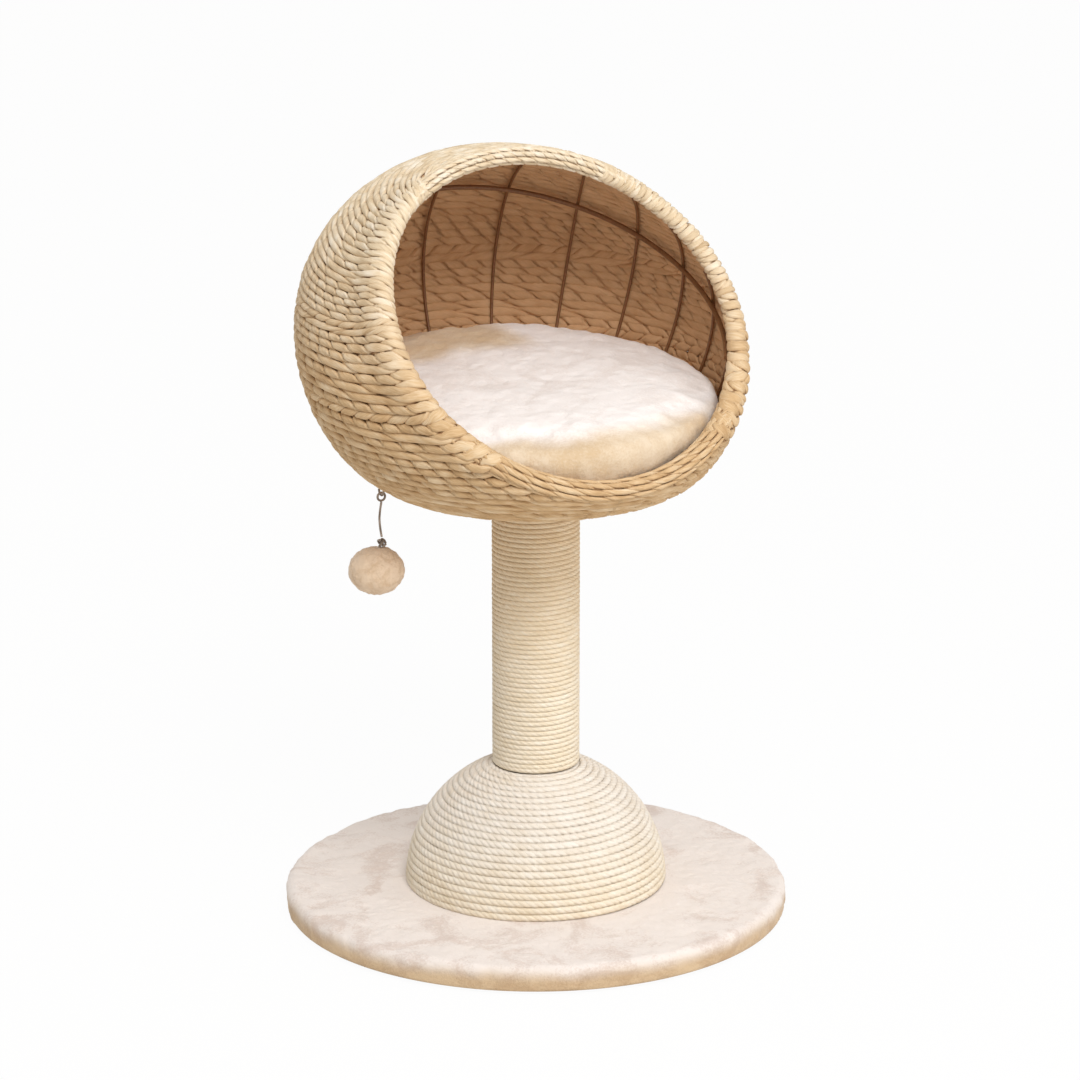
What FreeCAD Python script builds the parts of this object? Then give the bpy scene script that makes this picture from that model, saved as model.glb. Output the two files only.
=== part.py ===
import FreeCAD, Part
import math
import os
import re
import Sketcher
from FreeCAD import Matrix, Placement, Rotation, Vector

# A cat perch: a plush base, a rope-wound dome and post, and a woven hooded basket with a cushion and a toy.
# Frame: +Z up, origin on the floor under the post, the basket's mouth towards -Y. Millimetres.

doc = FreeCAD.newDocument("cat_perch")
sheet = doc.addObject("Spreadsheet::Sheet", "dims")

driving = {
    # base
    "base_radius": 250, "board_thickness": 16, "board_round": 3,
    "plush_top": 6, "plush_edge": 6, "plush_round": 8, "hem_thickness": 3, "hem_width": 26,
    "pad_height": 6, "pad_radius": 16, "pad_inset": 30,
    "staple_crown": 10, "staple_wire": 1.2, "staple_leg": 7, "staple_gauge": 0.6,
    # dome under the post
    "dome_radius": 130.6, "dome_wall": 4, "dome_rope": 5.8, "boss_radius": 6, "boss_height": 24,
    "screw_radius": 2, "screw_head_radius": 4, "screw_head_height": 3, "screw_length": 36,
    # post
    "post_radius": 43.6, "post_length": 408, "post_rope": 10.6, "tube_wall": 5, "plug_thickness": 20,
    "bolt_radius": 4, "bolt_length": 33, "head_radius": 7.2, "head_height": 5.3,
    "washer_radius": 12, "washer_thickness": 1.6, "washer_rebate": 9,
    "nut_barrel_radius": 5, "nut_barrel_length": 12, "nut_flange_radius": 11, "nut_flange": 1.5,
    # basket
    "belly_radius": 220, "hood_height": 190.5, "bowl_depth": 137, "floor_radius": 112,
    "wall": 12, "lean": 0.25, "mouth_tilt": 39.8, "mouth_reach": 93.6,
    "binding_radius": 9, "hoop_radius": 2.5, "rib_radius": 1.6, "rib_count": 24, "rib_tilt": 18.6,
    "arch_radius": 2.5, "arch_tilt": 64.1, "arch_reach": 42.6, "ring_radius": 2,
    "floor_board_radius": 104, "floor_board_thickness": 12, "basket_bolt_length": 40,
    # cushion
    "cushion_gap": 4, "cushion_back": 4, "cushion_tilt": 6, "cushion_toe_gap": 16, "cushion_waist": 63,
    "cushion_shoulder": 78, "cushion_height": 87, "cushion_cover": 4,
    # toy
    "toy_side": 151, "toy_back": 35, "toy_strand_radius": 1.1, "anchor_loop": 5, "link_loop": 4,
    "toy_cord_length": 35, "knot_radius": 4.5, "ball_radius": 27.5, "ball_half_height": 24,
    "ball_offset": 6,
    # fits
    "fit_gap": 0.3, "bore_gap": 0.25, "winding_gap": 0.42,
}
for row, (alias, value) in enumerate(driving.items(), 1):
    sheet.set("A%d" % row, alias)
    sheet.set("B%d" % row, str(value))
    sheet.setAlias("B%d" % row, alias)
doc.recompute()


def size(alias):
    return float(sheet.get(alias))


def bound(formula):
    return re.sub(r"[a-z]\w*", r"dims.\g<0>", formula)


def amount(formula):
    # Value of a sum of products of sheet names and numbers, for a first guess and for plain features.
    total = 0.0
    for term in formula.replace(" - ", " + -").split(" + "):
        product = -1.0 if term.startswith("-") else 1.0
        for factor in term.lstrip("-").split(" * "):
            product *= size(factor) if factor[0].isalpha() else float(factor)
        total += product
    return total


# Heights that several pieces share, as sums of driving sizes.
board_bottom = "pad_height"
board_top = "pad_height + board_thickness"
deck = board_top + " + plush_top"
basket_foot = board_top + " + post_length"
belly_level = basket_foot + " + bowl_depth"
basket_floor = basket_foot + " + wall"
floor_board_top = basket_floor + " + floor_board_thickness"
tube_radius = "post_radius - post_rope - fit_gap"
board_radius = "base_radius - plush_edge - fit_gap"
dome_skin = "dome_radius - dome_rope - fit_gap"
screw_circle = dome_skin + " - dome_wall - boss_radius + 1.5"
dome_center = Vector(0, 0, amount(deck))
belly_center = Vector(0, size("lean") * size("bowl_depth"), amount(belly_level))

nodes = {}


def node(label, thing):
    thing.Label = label
    nodes[label] = thing
    return thing


def bind(thing, **formulas):
    for prop, formula in formulas.items():
        thing.setExpression(prop.replace("__", "."), bound(formula))
    return thing


def cylinder(name, radius, height, level, x="0", y="0"):
    rod = doc.addObject("Part::Cylinder", name)
    return bind(rod, Radius=radius, Height=height, Placement__Base__x=x, Placement__Base__y=y,
                Placement__Base__z=level)


def cut(name, base, *tools):
    result = doc.addObject("Part::Cut", name)
    result.Base = base
    result.Tool = tools[0] if len(tools) == 1 else union(name + "_tools", *tools)
    return result


def union(name, *shapes):
    result = doc.addObject("Part::MultiFuse", name)
    result.Shapes = list(shapes)
    return result


def plain(name, shape):
    feature = doc.addObject("Part::Feature", name)
    feature.Shape = shape
    return feature


def around(shape, count, start=0.0):
    copies = []
    for step in range(count):
        turned = shape.copy()
        turned.rotate(Vector(0, 0, 0), Vector(0, 0, 1), start + 360.0 * step / count)
        copies.append(turned)
    return Part.makeCompound(copies)


def origin_plane(body, role):
    return [plane for plane in body.Origin.OriginFeatures if plane.Role == role][0]


def profile(body, name, corners):
    # Closed outline in the XZ plane; each corner is (radius, height), held by two bound distances.
    sketch = body.newObject("Sketcher::SketchObject", name)
    sketch.AttachmentSupport = [(origin_plane(body, "XZ_Plane"), "")]
    sketch.MapMode = "FlatFace"
    points = [Vector(amount(r), amount(z), 0) for r, z in corners]
    for here, there in zip(points, points[1:] + points[:1]):
        sketch.addGeometry(Part.LineSegment(here, there))
    for index in range(len(points)):
        sketch.addConstraint(Sketcher.Constraint("Coincident", index - 1 if index else len(points) - 1, 2,
                                                 index, 1))
    for index, (r, z) in enumerate(corners):
        across = sketch.addConstraint(Sketcher.Constraint("DistanceX", -1, 1, index, 1, points[index].x))
        upward = sketch.addConstraint(Sketcher.Constraint("DistanceY", -1, 1, index, 1, points[index].y))
        sketch.setExpression("Constraints[%d]" % across, bound(r))
        sketch.setExpression("Constraints[%d]" % upward, bound(z))
    return sketch


def turned(name, corners):
    body = doc.addObject("PartDesign::Body", name)
    sketch = profile(body, name + "_outline", corners)
    solid = body.newObject("PartDesign::Revolution", name + "_turn")
    solid.Profile = sketch
    solid.ReferenceAxis = (sketch, ["V_Axis"])
    solid.Angle = 360
    doc.recompute()
    return body


def round_edge(body, name, radius, at_radius, at_level):
    # Rounds the ring edges of a turned piece that lie at one radius and height.
    wanted = []
    tip = body.Tip
    for number, edge in enumerate(tip.Shape.Edges, 1):
        ring = edge.Curve
        if hasattr(ring, "Radius") and abs(ring.Radius - amount(at_radius)) < 0.01:
            if abs(edge.CenterOfMass.z - amount(at_level)) < 0.01:
                wanted.append("Edge%d" % number)
    fillet = body.newObject("PartDesign::Fillet", name)
    fillet.Base = (tip, wanted)
    bind(fillet, Radius=radius)
    body.Tip = fillet
    doc.recompute()


def section(body, name, level, radius, back):
    # One level circle of the basket, its centre moved back.
    sketch = body.newObject("Sketcher::SketchObject", name)
    sketch.AttachmentSupport = [(origin_plane(body, "XY_Plane"), "")]
    sketch.MapMode = "FlatFace"
    bind(sketch, AttachmentOffset__Base__z=level)
    ring = sketch.addGeometry(Part.Circle(Vector(0, amount(back), 0), Vector(0, 0, 1), amount(radius)))
    sketch.addConstraint(Sketcher.Constraint("PointOnObject", ring, 3, -2))
    reach = sketch.addConstraint(Sketcher.Constraint("Radius", ring, amount(radius)))
    shift = sketch.addConstraint(Sketcher.Constraint("DistanceY", -1, 1, ring, 3, amount(back)))
    sketch.setExpression("Constraints[%d]" % reach, bound(radius))
    sketch.setExpression("Constraints[%d]" % shift, bound(back))
    return sketch


def basket_sections(body, name, inset):
    # Level circles of the sheared basket, each inset from the outer face, from the floor up to the crown.
    circles = []
    for number, angle in enumerate((90, 76, 60, 42, 22), 1):
        share, drop = math.cos(math.radians(angle)), math.sin(math.radians(angle))
        level = "%s - bowl_depth * %.6f + %s * %.6f" % (belly_level, drop, inset, drop)
        radius = "floor_radius + belly_radius * %.6f - floor_radius * %.6f" % (share, share)
        radius += " - %s * %.6f" % (inset, share)
        back = "lean * bowl_depth - lean * bowl_depth * %.6f + lean * %s * %.6f" % (drop, inset, drop)
        circles.append(section(body, "%s_bowl_%d" % (name, number), level, radius, back))
    for number, angle in enumerate((0, 22, 42, 58, 70, 79, 86), 1):
        share, rise = math.cos(math.radians(angle)), math.sin(math.radians(angle))
        level = "%s + hood_height * %.6f - %s * %.6f" % (belly_level, rise, inset, rise)
        radius = "belly_radius * %.6f - %s * %.6f" % (share, inset, share)
        back = "lean * bowl_depth + lean * hood_height * %.6f - lean * %s * %.6f" % (rise, inset, rise)
        circles.append(section(body, "%s_hood_%d" % (name, number), level, radius, back))
    return circles


def basket_radius(level, inset):
    # Inner radius at a height above the belly, inset from the outer face.
    if level >= 0:
        share = level / (size("hood_height") - inset)
        return (size("belly_radius") - inset) * math.sqrt(max(0.0, 1 - share * share))
    share = level / (size("bowl_depth") - inset)
    swell = size("belly_radius") - inset - size("floor_radius")
    return size("floor_radius") + swell * math.sqrt(max(0.0, 1 - share * share))


def outside(point, inset):
    # Positive where a point lies beyond the basket's face, inset from the outside.
    level = point.z - belly_center.z
    floor = -size("bowl_depth") + inset
    crown = size("hood_height") - inset
    if level <= floor or level >= crown:
        return 1.0
    back = point.y - size("lean") * (level + size("bowl_depth"))
    return math.hypot(point.x, back) - basket_radius(level, inset)


def reach(start, direction, inset):
    # Where a ray from inside the basket meets that face.
    near, far = 0.0, 2 * (size("belly_radius") + size("hood_height"))
    for _ in range(60):
        middle = (near + far) / 2
        if outside(start + direction * middle, inset) > 0:
            far = middle
        else:
            near = middle
    return start + direction * near


def tilted(angle):
    # Unit normal that points towards -Y and up, and the direction that climbs its plane.
    lift = math.radians(angle)
    return Vector(0, -math.cos(lift), math.sin(lift)), Vector(0, math.sin(lift), math.cos(lift))


def arc_from(start, heading, end):
    # The arc that leaves start along heading and ends at end, or the straight line between them.
    chord = end - start
    lean_angle = heading.getAngle(chord)
    if lean_angle < 1e-6:
        return Part.LineSegment(start, end).toShape()
    axis = heading.cross(chord)
    axis.normalize()
    inward = axis.cross(heading)
    inward.normalize()
    radius = chord.Length / (2 * math.sin(lean_angle))
    bulge = start + chord * 0.5
    center = start + inward * radius
    away = bulge - center
    if away.Length < 1e-9:
        away = heading * 1.0
    away.normalize()
    if math.cos(lean_angle) < 0:
        away = away * -1
    return Part.Arc(start, center + away * radius, end).toShape()


def biarc(start, heading, end, arrival):
    # Two tangent arcs from start to end with the given headings.
    chord = end - start
    both = heading + arrival
    spread = 2 * (1 - heading.dot(arrival))
    along = chord.dot(both)
    if spread < 1e-9:
        step = chord.Length ** 2 / (2 * along)
    else:
        step = (-along + math.sqrt(along * along + spread * chord.Length ** 2)) / spread
    joint = (start + end + (heading - arrival) * step) * 0.5
    back = arc_from(end, arrival * -1, joint)
    middle = back.valueAt(sum(back.ParameterRange) / 2)
    return [arc_from(start, heading, joint), Part.Arc(joint, middle, end).toShape()]


def tube(edges, radius):
    # Round tube along a path of tangent arcs.
    path = Part.Wire(edges)
    first = path.Edges[0]
    heading = first.tangentAt(first.FirstParameter)
    ring = Part.Wire([Part.Circle(first.valueAt(first.FirstParameter), heading, radius).toShape()])
    solid = path.makePipeShell([ring], True, False)
    if solid.Volume < 0:
        solid.reverse()
    return solid


def winding(name, place, heading, turns, radius):
    # One unbroken rope: biarcs of half a turn, with a straight end one rope diameter long at each end.
    stops = [step / 2.0 for step in range(2 * turns + 1)]
    edges = [Part.LineSegment(place(0) - heading(0) * 2 * radius, place(0)).toShape()]
    for here, there in zip(stops, stops[1:]):
        edges += biarc(place(here), heading(here), place(there), heading(there))
    edges.append(Part.LineSegment(place(turns), place(turns) + heading(turns) * 2 * radius).toShape())
    rope = tube(edges, radius)
    per_turn = 48
    points = [place(step / per_turn) for step in range(turns * per_turn + 1)]
    nearest = min((points[i] - points[j]).Length for i in range(len(points))
                  for j in range(i + per_turn // 2, min(len(points), i + per_turn * 3 // 2)))
    print("%s: %d turns, least gap to itself %.2f mm" % (name, turns, nearest - 2 * radius))
    return rope


# Base board: a disc with the bolt's rebate, the bolt hole and the dome screws' holes.
def make_base_board():
    disc = turned("base_board_disc", [
        ("0", board_bottom), (board_radius, board_bottom), (board_radius, board_top), ("0", board_top)])
    round_edge(disc, "base_board_round", "board_round", board_radius, board_top)
    shank = cylinder("base_bolt_hole", "bolt_radius + bore_gap", "board_thickness", board_bottom)
    rebate = cylinder("base_bolt_rebate", "washer_radius + 1", "washer_rebate", board_bottom)
    screw = Part.makeCylinder(size("screw_radius") + size("bore_gap"), size("board_thickness"),
                              Vector(amount(screw_circle), 0, amount(board_bottom)))
    head = Part.makeCylinder(size("screw_head_radius") + size("bore_gap"), size("screw_head_height") + 1,
                             Vector(amount(screw_circle), 0, amount(board_bottom)))
    screws = plain("base_screw_holes", around(screw.fuse(head), 4, 45))
    return node("base_board", cut("base_board", disc, shank, rebate, screws, staple_holes("board")))


# Plush cover: over the top and the edge, with its hem turned under the board.
def make_base_cover():
    hem_inner = "base_radius - hem_width"
    hem_bottom = board_bottom + " - hem_thickness"
    opening = tube_radius + " + fit_gap"
    wrap = turned("base_cover_wrap", [
        (opening, board_top), ("base_radius - plush_edge", board_top),
        ("base_radius - plush_edge", board_bottom), (hem_inner, board_bottom), (hem_inner, hem_bottom),
        ("base_radius", hem_bottom), ("base_radius", deck), (opening, deck)])
    round_edge(wrap, "base_cover_round", "plush_round", "base_radius", deck)
    screw = Part.makeCylinder(size("screw_radius") + size("bore_gap"), size("plush_top"),
                              Vector(amount(screw_circle), 0, amount(board_top)))
    screws = plain("cover_screw_holes", around(screw, 4, 45))
    return node("base_cover", cut("base_cover", wrap, screws, staple_holes("cover")))


staple_count = 16


def staple_legs(grow):
    wire = size("staple_wire") + 2 * grow
    reach_out = size("base_radius") - size("hem_width") / 2
    floor = amount(board_bottom) - size("hem_thickness")
    legs = []
    for side in (-1, 1):
        middle = side * (size("staple_crown") - size("staple_wire")) / 2
        legs.append(Part.makeBox(wire, wire, size("staple_leg") + grow,
                                 Vector(reach_out - wire / 2, middle - wire / 2, floor)))
    return legs


def staple_holes(name):
    legs = Part.makeCompound(staple_legs(size("bore_gap")))
    return plain("staple_holes_" + name, around(legs, staple_count))


def make_base_staples():
    reach_out = size("base_radius") - size("hem_width") / 2
    floor = amount(board_bottom) - size("hem_thickness")
    crown = Part.makeBox(size("staple_wire"), size("staple_crown"), size("staple_gauge"),
                         Vector(reach_out - size("staple_wire") / 2, -size("staple_crown") / 2,
                                floor - size("staple_gauge")))
    staple = crown.multiFuse(staple_legs(0)).removeSplitter()
    return node("base_staples", plain("base_staples", around(staple, staple_count)))


def make_foot_pads():
    circle = size("base_radius") - size("hem_width") - size("pad_inset")
    pad = Part.makeCylinder(size("pad_radius"), size("pad_height"), Vector(circle, 0, 0))
    return node("foot_pads", plain("foot_pads", around(pad, 6, 30)))


# Dome: a half-ball shell with a hole for the post, four screw bosses inside its rim, and its winding.
def make_dome_shell():
    outer, inner = amount(dome_skin), amount(dome_skin) - size("dome_wall")
    ball = Part.makeSphere(outer, dome_center, Vector(0, 0, 1), 0, 90)
    hollow = Part.makeSphere(inner, dome_center, Vector(0, 0, 1), 0, 90)
    shell = ball.cut(hollow)
    boss_place = Vector(amount(screw_circle), 0, dome_center.z)
    boss = Part.makeCylinder(size("boss_radius"), size("boss_height"), boss_place)
    shell = shell.multiFuse(around(boss.common(ball), 4, 45).Solids)
    pilot = Part.makeCylinder(size("screw_radius") + size("bore_gap"), size("boss_height") - 2,
                              Vector(amount(screw_circle), 0, dome_center.z))
    opening = amount(tube_radius) + 2 * size("fit_gap")
    hole = Part.makeCylinder(opening, 2 * outer, Vector(0, 0, dome_center.z))
    shell = shell.cut(around(pilot, 4, 45)).cut(hole)
    return node("dome_shell", plain("dome_shell", shell.removeSplitter()))


def make_dome_rope():
    radius = size("dome_rope") / 2
    ball = size("dome_radius") - radius
    low = math.asin((radius + size("fit_gap")) / ball)
    high = math.acos((size("post_radius") + radius + size("fit_gap")) / ball)
    turns = int(ball * (high - low) / (2 * radius + size("winding_gap")))

    def place(turn):
        lift, swing = low + (high - low) * turn / turns, 2 * math.pi * turn
        flat = ball * math.cos(lift)
        return dome_center + Vector(flat * math.cos(swing), flat * math.sin(swing), ball * math.sin(lift))

    def heading(turn):
        ahead = place(turn + 1e-5) - place(turn - 1e-5)
        return ahead.normalize()

    return node("dome_rope", plain("dome_rope", winding("dome_rope", place, heading, turns, radius)))


def make_dome_screws():
    foot = amount(board_bottom) + 1
    head = Part.makeCylinder(size("screw_head_radius"), size("screw_head_height"),
                             Vector(amount(screw_circle), 0, foot))
    shank_place = Vector(amount(screw_circle), 0, foot)
    shank = Part.makeCylinder(size("screw_radius"), size("screw_length"), shank_place)
    return node("dome_screws", plain("dome_screws", around(head.fuse(shank).removeSplitter(), 4, 45)))


# Post: a paper tube with a wooden plug and a T-nut at each end, and the winding above the dome.
def make_post_tube():
    tube_outer = cylinder("post_tube_outer", tube_radius, "post_length", board_top)
    tube_inner = cylinder("post_tube_inner", tube_radius + " - tube_wall", "post_length", board_top)
    return node("post_tube", cut("post_tube", tube_outer, tube_inner))


def make_plug(label, level):
    disc = cylinder(label + "_disc", tube_radius + " - tube_wall - bore_gap", "plug_thickness", level)
    bore = cylinder(label + "_bore", "nut_barrel_radius + bore_gap", "plug_thickness", level)
    return node(label, cut(label, disc, bore))


def make_tee_nut(label, flange_level, barrel_level):
    flange = cylinder(label + "_flange", "nut_flange_radius", "nut_flange", flange_level)
    barrel = cylinder(label + "_barrel", "nut_barrel_radius", "nut_barrel_length", barrel_level)
    bore = cylinder(label + "_bore", "bolt_radius + bore_gap", "nut_barrel_length + nut_flange",
                    barrel_level if flange_level.endswith("plug_thickness") else flange_level)
    return node(label, cut(label, union(label + "_body", flange, barrel), bore))


def make_bolt(label, head_level, shank_level, length):
    head = doc.addObject("Part::Prism", label + "_head")
    head.Polygon = 6
    bind(head, Circumradius="head_radius", Height="head_height", Placement__Base__z=head_level)
    shank = cylinder(label + "_shank", "bolt_radius", length, shank_level)
    return node(label, union(label, head, shank))


def make_washer(label, level):
    disc = cylinder(label + "_disc", "washer_radius", "washer_thickness", level)
    bore = cylinder(label + "_bore", "bolt_radius + bore_gap", "washer_thickness", level)
    return node(label, cut(label, disc, bore))


def make_post_rope():
    radius = size("post_rope") / 2
    coil = size("post_radius") - radius
    foot = dome_center.z + math.sqrt(size("dome_radius") ** 2 - size("post_radius") ** 2) + radius
    top = amount(basket_foot) - radius - 3 * size("fit_gap")
    turns = int((top - foot) / (2 * radius + size("winding_gap")))
    pitch = (top - foot) / turns

    def place(turn):
        swing = 2 * math.pi * turn
        return Vector(coil * math.cos(swing), coil * math.sin(swing), foot + pitch * turn)

    def heading(turn):
        swing = 2 * math.pi * turn
        ahead = Vector(-coil * math.sin(swing), coil * math.cos(swing), pitch / (2 * math.pi))
        return ahead.normalize()

    return node("post_rope", plain("post_rope", winding("post_rope", place, heading, turns, radius)))


# Basket: level circles that lean back as they rise, hollow, cut off by the plane of the mouth.
mouth_normal, mouth_climb = tilted(size("mouth_tilt"))
mouth_foot = belly_center + mouth_normal * size("mouth_reach")


def mouth_ring():
    # The circle of the mouth runs through the middle of the wall, top and bottom.
    middle = size("wall") / 2 + 1
    high = reach(mouth_foot, mouth_climb, middle)
    low = reach(mouth_foot, mouth_climb * -1, middle)
    return (high + low) * 0.5, (high - low).Length / 2


mouth_center, mouth_radius = mouth_ring()
mouth_edge = size("mouth_reach") - size("binding_radius") - size("fit_gap")


def facing(normal):
    return Rotation(Vector(0, 0, 1), normal)


def make_basket_weave():
    body = doc.addObject("PartDesign::Body", "basket_bowl")
    for kind, name, inset in (("Additive", "outer", "0"), ("Subtractive", "inner", "wall")):
        circles = basket_sections(body, "basket_" + name, inset)
        loft = body.newObject("PartDesign::%sLoft" % kind, "basket_%s_loft" % name)
        loft.Profile = circles[0]
        loft.Sections = circles[1:]
        doc.recompute()
    mouth = doc.addObject("Part::Cylinder", "mouth_tool")
    bind(mouth, Radius="belly_radius + hood_height", Height="belly_radius + hood_height")
    mouth.Placement = Placement(belly_center + mouth_normal * mouth_edge, facing(mouth_normal))
    bolt = cylinder("basket_bolt_hole", "bolt_radius + bore_gap", "wall", basket_foot)
    return node("basket_weave", cut("basket_weave", body, mouth, bolt))


def torus(name, center, normal, major, minor):
    ring = doc.addObject("Part::Torus", name)
    ring.Radius1 = major
    bind(ring, Radius2=minor)
    ring.Placement = Placement(center, facing(normal))
    return ring


def make_mouth_binding():
    rope = torus("mouth_binding_rope", mouth_center, mouth_normal, mouth_radius, "binding_radius")
    core = torus("mouth_binding_core", mouth_center, mouth_normal, mouth_radius, "hoop_radius + bore_gap")
    return node("mouth_binding", cut("mouth_binding", rope, core))


def make_mouth_hoop():
    return node("mouth_hoop", torus("mouth_hoop", mouth_center, mouth_normal, mouth_radius, "hoop_radius"))


rib_inset = size("wall") + size("rib_radius") + 2 * size("fit_gap")
ring_major = amount("floor_board_radius + ring_radius + fit_gap")


def make_floor_ring():
    center = Vector(0, 0, amount(basket_floor) + size("ring_radius") + size("fit_gap"))
    return node("floor_ring", torus("floor_ring", center, Vector(0, 0, 1), ring_major, "ring_radius"))


def make_floor_board():
    disc = cylinder("floor_board_disc", "floor_board_radius", "floor_board_thickness", basket_floor)
    bolt = cylinder("floor_board_hole", "bolt_radius + bore_gap", "floor_board_thickness", basket_floor)
    rebate = cylinder("floor_board_rebate", "washer_radius + 1", "washer_rebate",
                      floor_board_top + " - washer_rebate")
    return node("floor_board", cut("floor_board", disc, bolt, rebate))


def make_rib(number):
    # A rib lies in a plane through a tilted axis over the basket's foot, from the floor ring to the mouth.
    tilt = math.radians(size("rib_tilt"))
    axis = Vector(0, -math.sin(tilt), math.cos(tilt))
    behind = Vector(0, math.cos(tilt), math.sin(tilt))
    swing = 2 * math.pi * (number - 1) / size("rib_count")
    outward = Vector(1, 0, 0) * math.sin(swing) + behind * math.cos(swing)
    hub = Vector(0, 0, amount(basket_foot)) + axis * (size("bowl_depth") / math.cos(tilt))

    def place(turn):
        return reach(hub, axis * -math.cos(turn) + outward * math.sin(turn), rib_inset)

    def heading(turn):
        ahead = place(turn + 1e-3) - place(turn - 1e-3)
        return ahead.normalize()

    def solve(test):
        low, high = 0.05, math.pi - 0.05
        for _ in range(40):
            middle = (low + high) / 2
            if test(place(middle)):
                low = middle
            else:
                high = middle
        return low

    foot_radius = ring_major + size("ring_radius") + size("rib_radius") + size("fit_gap")
    begin = solve(lambda point: math.hypot(point.x, point.y) < foot_radius)
    finish = solve(lambda point: (point - belly_center).dot(mouth_normal) < mouth_edge - size("rib_radius"))
    spans = max(3, round(math.degrees(finish - begin) / 22))
    stops = [begin + (finish - begin) * step / spans for step in range(spans + 1)]
    edges = []
    for here, there in zip(stops, stops[1:]):
        edges += biarc(place(here), heading(here), place(there), heading(there))
    return node("rib_%02d" % number, plain("rib_%02d" % number, tube(edges, size("rib_radius"))))


def make_arch_hoop():
    # A stiffer wire inside the ribs, level with the mouth's sides and rising to the back of the hood.
    normal, climb = tilted(size("arch_tilt"))
    inset = rib_inset + size("rib_radius") + size("arch_radius") + size("fit_gap")
    hub = belly_center + normal * size("arch_reach")
    side = Vector(1, 0, 0)

    def place(turn):
        return reach(hub, side * math.sin(turn) + climb * math.cos(turn), inset)

    def heading(turn):
        ahead = place(turn + 1e-3) - place(turn - 1e-3)
        return ahead.normalize()

    low, high = 0.0, math.pi
    for _ in range(40):
        middle = (low + high) / 2
        if (place(middle) - belly_center).dot(mouth_normal) < mouth_edge - size("arch_radius"):
            low = middle
        else:
            high = middle
    spans = round(math.degrees(2 * low) / 22)
    stops = [-low + 2 * low * step / spans for step in range(spans + 1)]
    edges = []
    for here, there in zip(stops, stops[1:]):
        edges += biarc(place(here), heading(here), place(there), heading(there))
    return node("arch_hoop", plain("arch_hoop", tube(edges, size("arch_radius"))))


# Cushion: a round pad with full sides and a crowned top, higher at the back and cut level where it lies.
def cushion_solid(inset):
    base = amount(floor_board_top) + size("fit_gap")
    waist = base + size("cushion_waist")
    shoulder = base + size("cushion_shoulder") - inset
    top = base + size("cushion_height") - inset
    middle = size("lean") * (waist - amount(basket_foot)) + size("cushion_back")
    clear = rib_inset + size("rib_radius")
    full = basket_radius(waist - belly_center.z, clear) - size("cushion_gap") - inset
    room = basket_radius(base - belly_center.z, clear) - size("lean") * (waist - base)
    toe = room - size("cushion_toe_gap") - inset / 2
    foot = base + inset - toe * math.sin(math.radians(size("cushion_tilt")))
    brow = full - (shoulder - waist)
    swell = Vector(toe + (full - toe) * 0.62, 0, foot + (waist - foot) * 0.42)
    low = Part.Arc(Vector(toe, 0, foot), swell, Vector(full, 0, waist))
    turn = Vector(full - (full - brow) * 0.3, 0, waist + (shoulder - waist) * 0.7)
    edge = Part.Arc(Vector(full, 0, waist), turn, Vector(brow, 0, shoulder))
    crown_radius = (brow ** 2 + (top - shoulder) ** 2) / (2 * (top - shoulder))
    half = brow / 2
    bulge = top - crown_radius + math.sqrt(crown_radius ** 2 - half ** 2)
    crown = Part.Arc(Vector(brow, 0, shoulder), Vector(half, 0, bulge), Vector(0, 0, top))
    outline = Part.Wire([
        Part.LineSegment(Vector(0, 0, foot), Vector(toe, 0, foot)).toShape(), low.toShape(), edge.toShape(),
        crown.toShape(), Part.LineSegment(Vector(0, 0, top), Vector(0, 0, foot)).toShape()])
    pad = Part.Face(outline).revolve(Vector(0, 0, 0), Vector(0, 0, 1), 360)
    pad.translate(Vector(0, middle, 0))
    pad.rotate(Vector(0, middle, waist), Vector(1, 0, 0), size("cushion_tilt"))
    above = Part.makeBox(4 * full, 4 * full, 4 * full, Vector(-2 * full, middle - 2 * full, base + inset))
    return pad.common(above)


def make_cushion():
    cover = cushion_solid(0).cut(cushion_solid(size("cushion_cover")))
    filling = cushion_solid(size("cushion_cover") + size("fit_gap"))
    node("cushion_cover", plain("cushion_cover", cover))
    node("cushion_filling", plain("cushion_filling", filling))


# Toy: a loop tied into the weave, a link loop through it, and a cord with a knot and a ball.
toy_x, toy_y = -size("toy_side"), size("toy_back")


def toy_levels():
    strand, gap = size("toy_strand_radius"), size("fit_gap")
    near, far = amount(basket_foot), amount(belly_level)
    for _ in range(60):
        middle = (near + far) / 2
        if outside(Vector(toy_x, toy_y, middle), 0) > 0:
            near = middle
        else:
            far = middle
    anchor = far - 4 * gap
    link = anchor - size("anchor_loop") + 2 * strand + gap - size("link_loop")
    cord_top = link - size("link_loop") - strand - gap
    return anchor, link, cord_top


anchor_level, link_level, cord_top = toy_levels()
cord_foot = cord_top - size("toy_cord_length")


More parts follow.
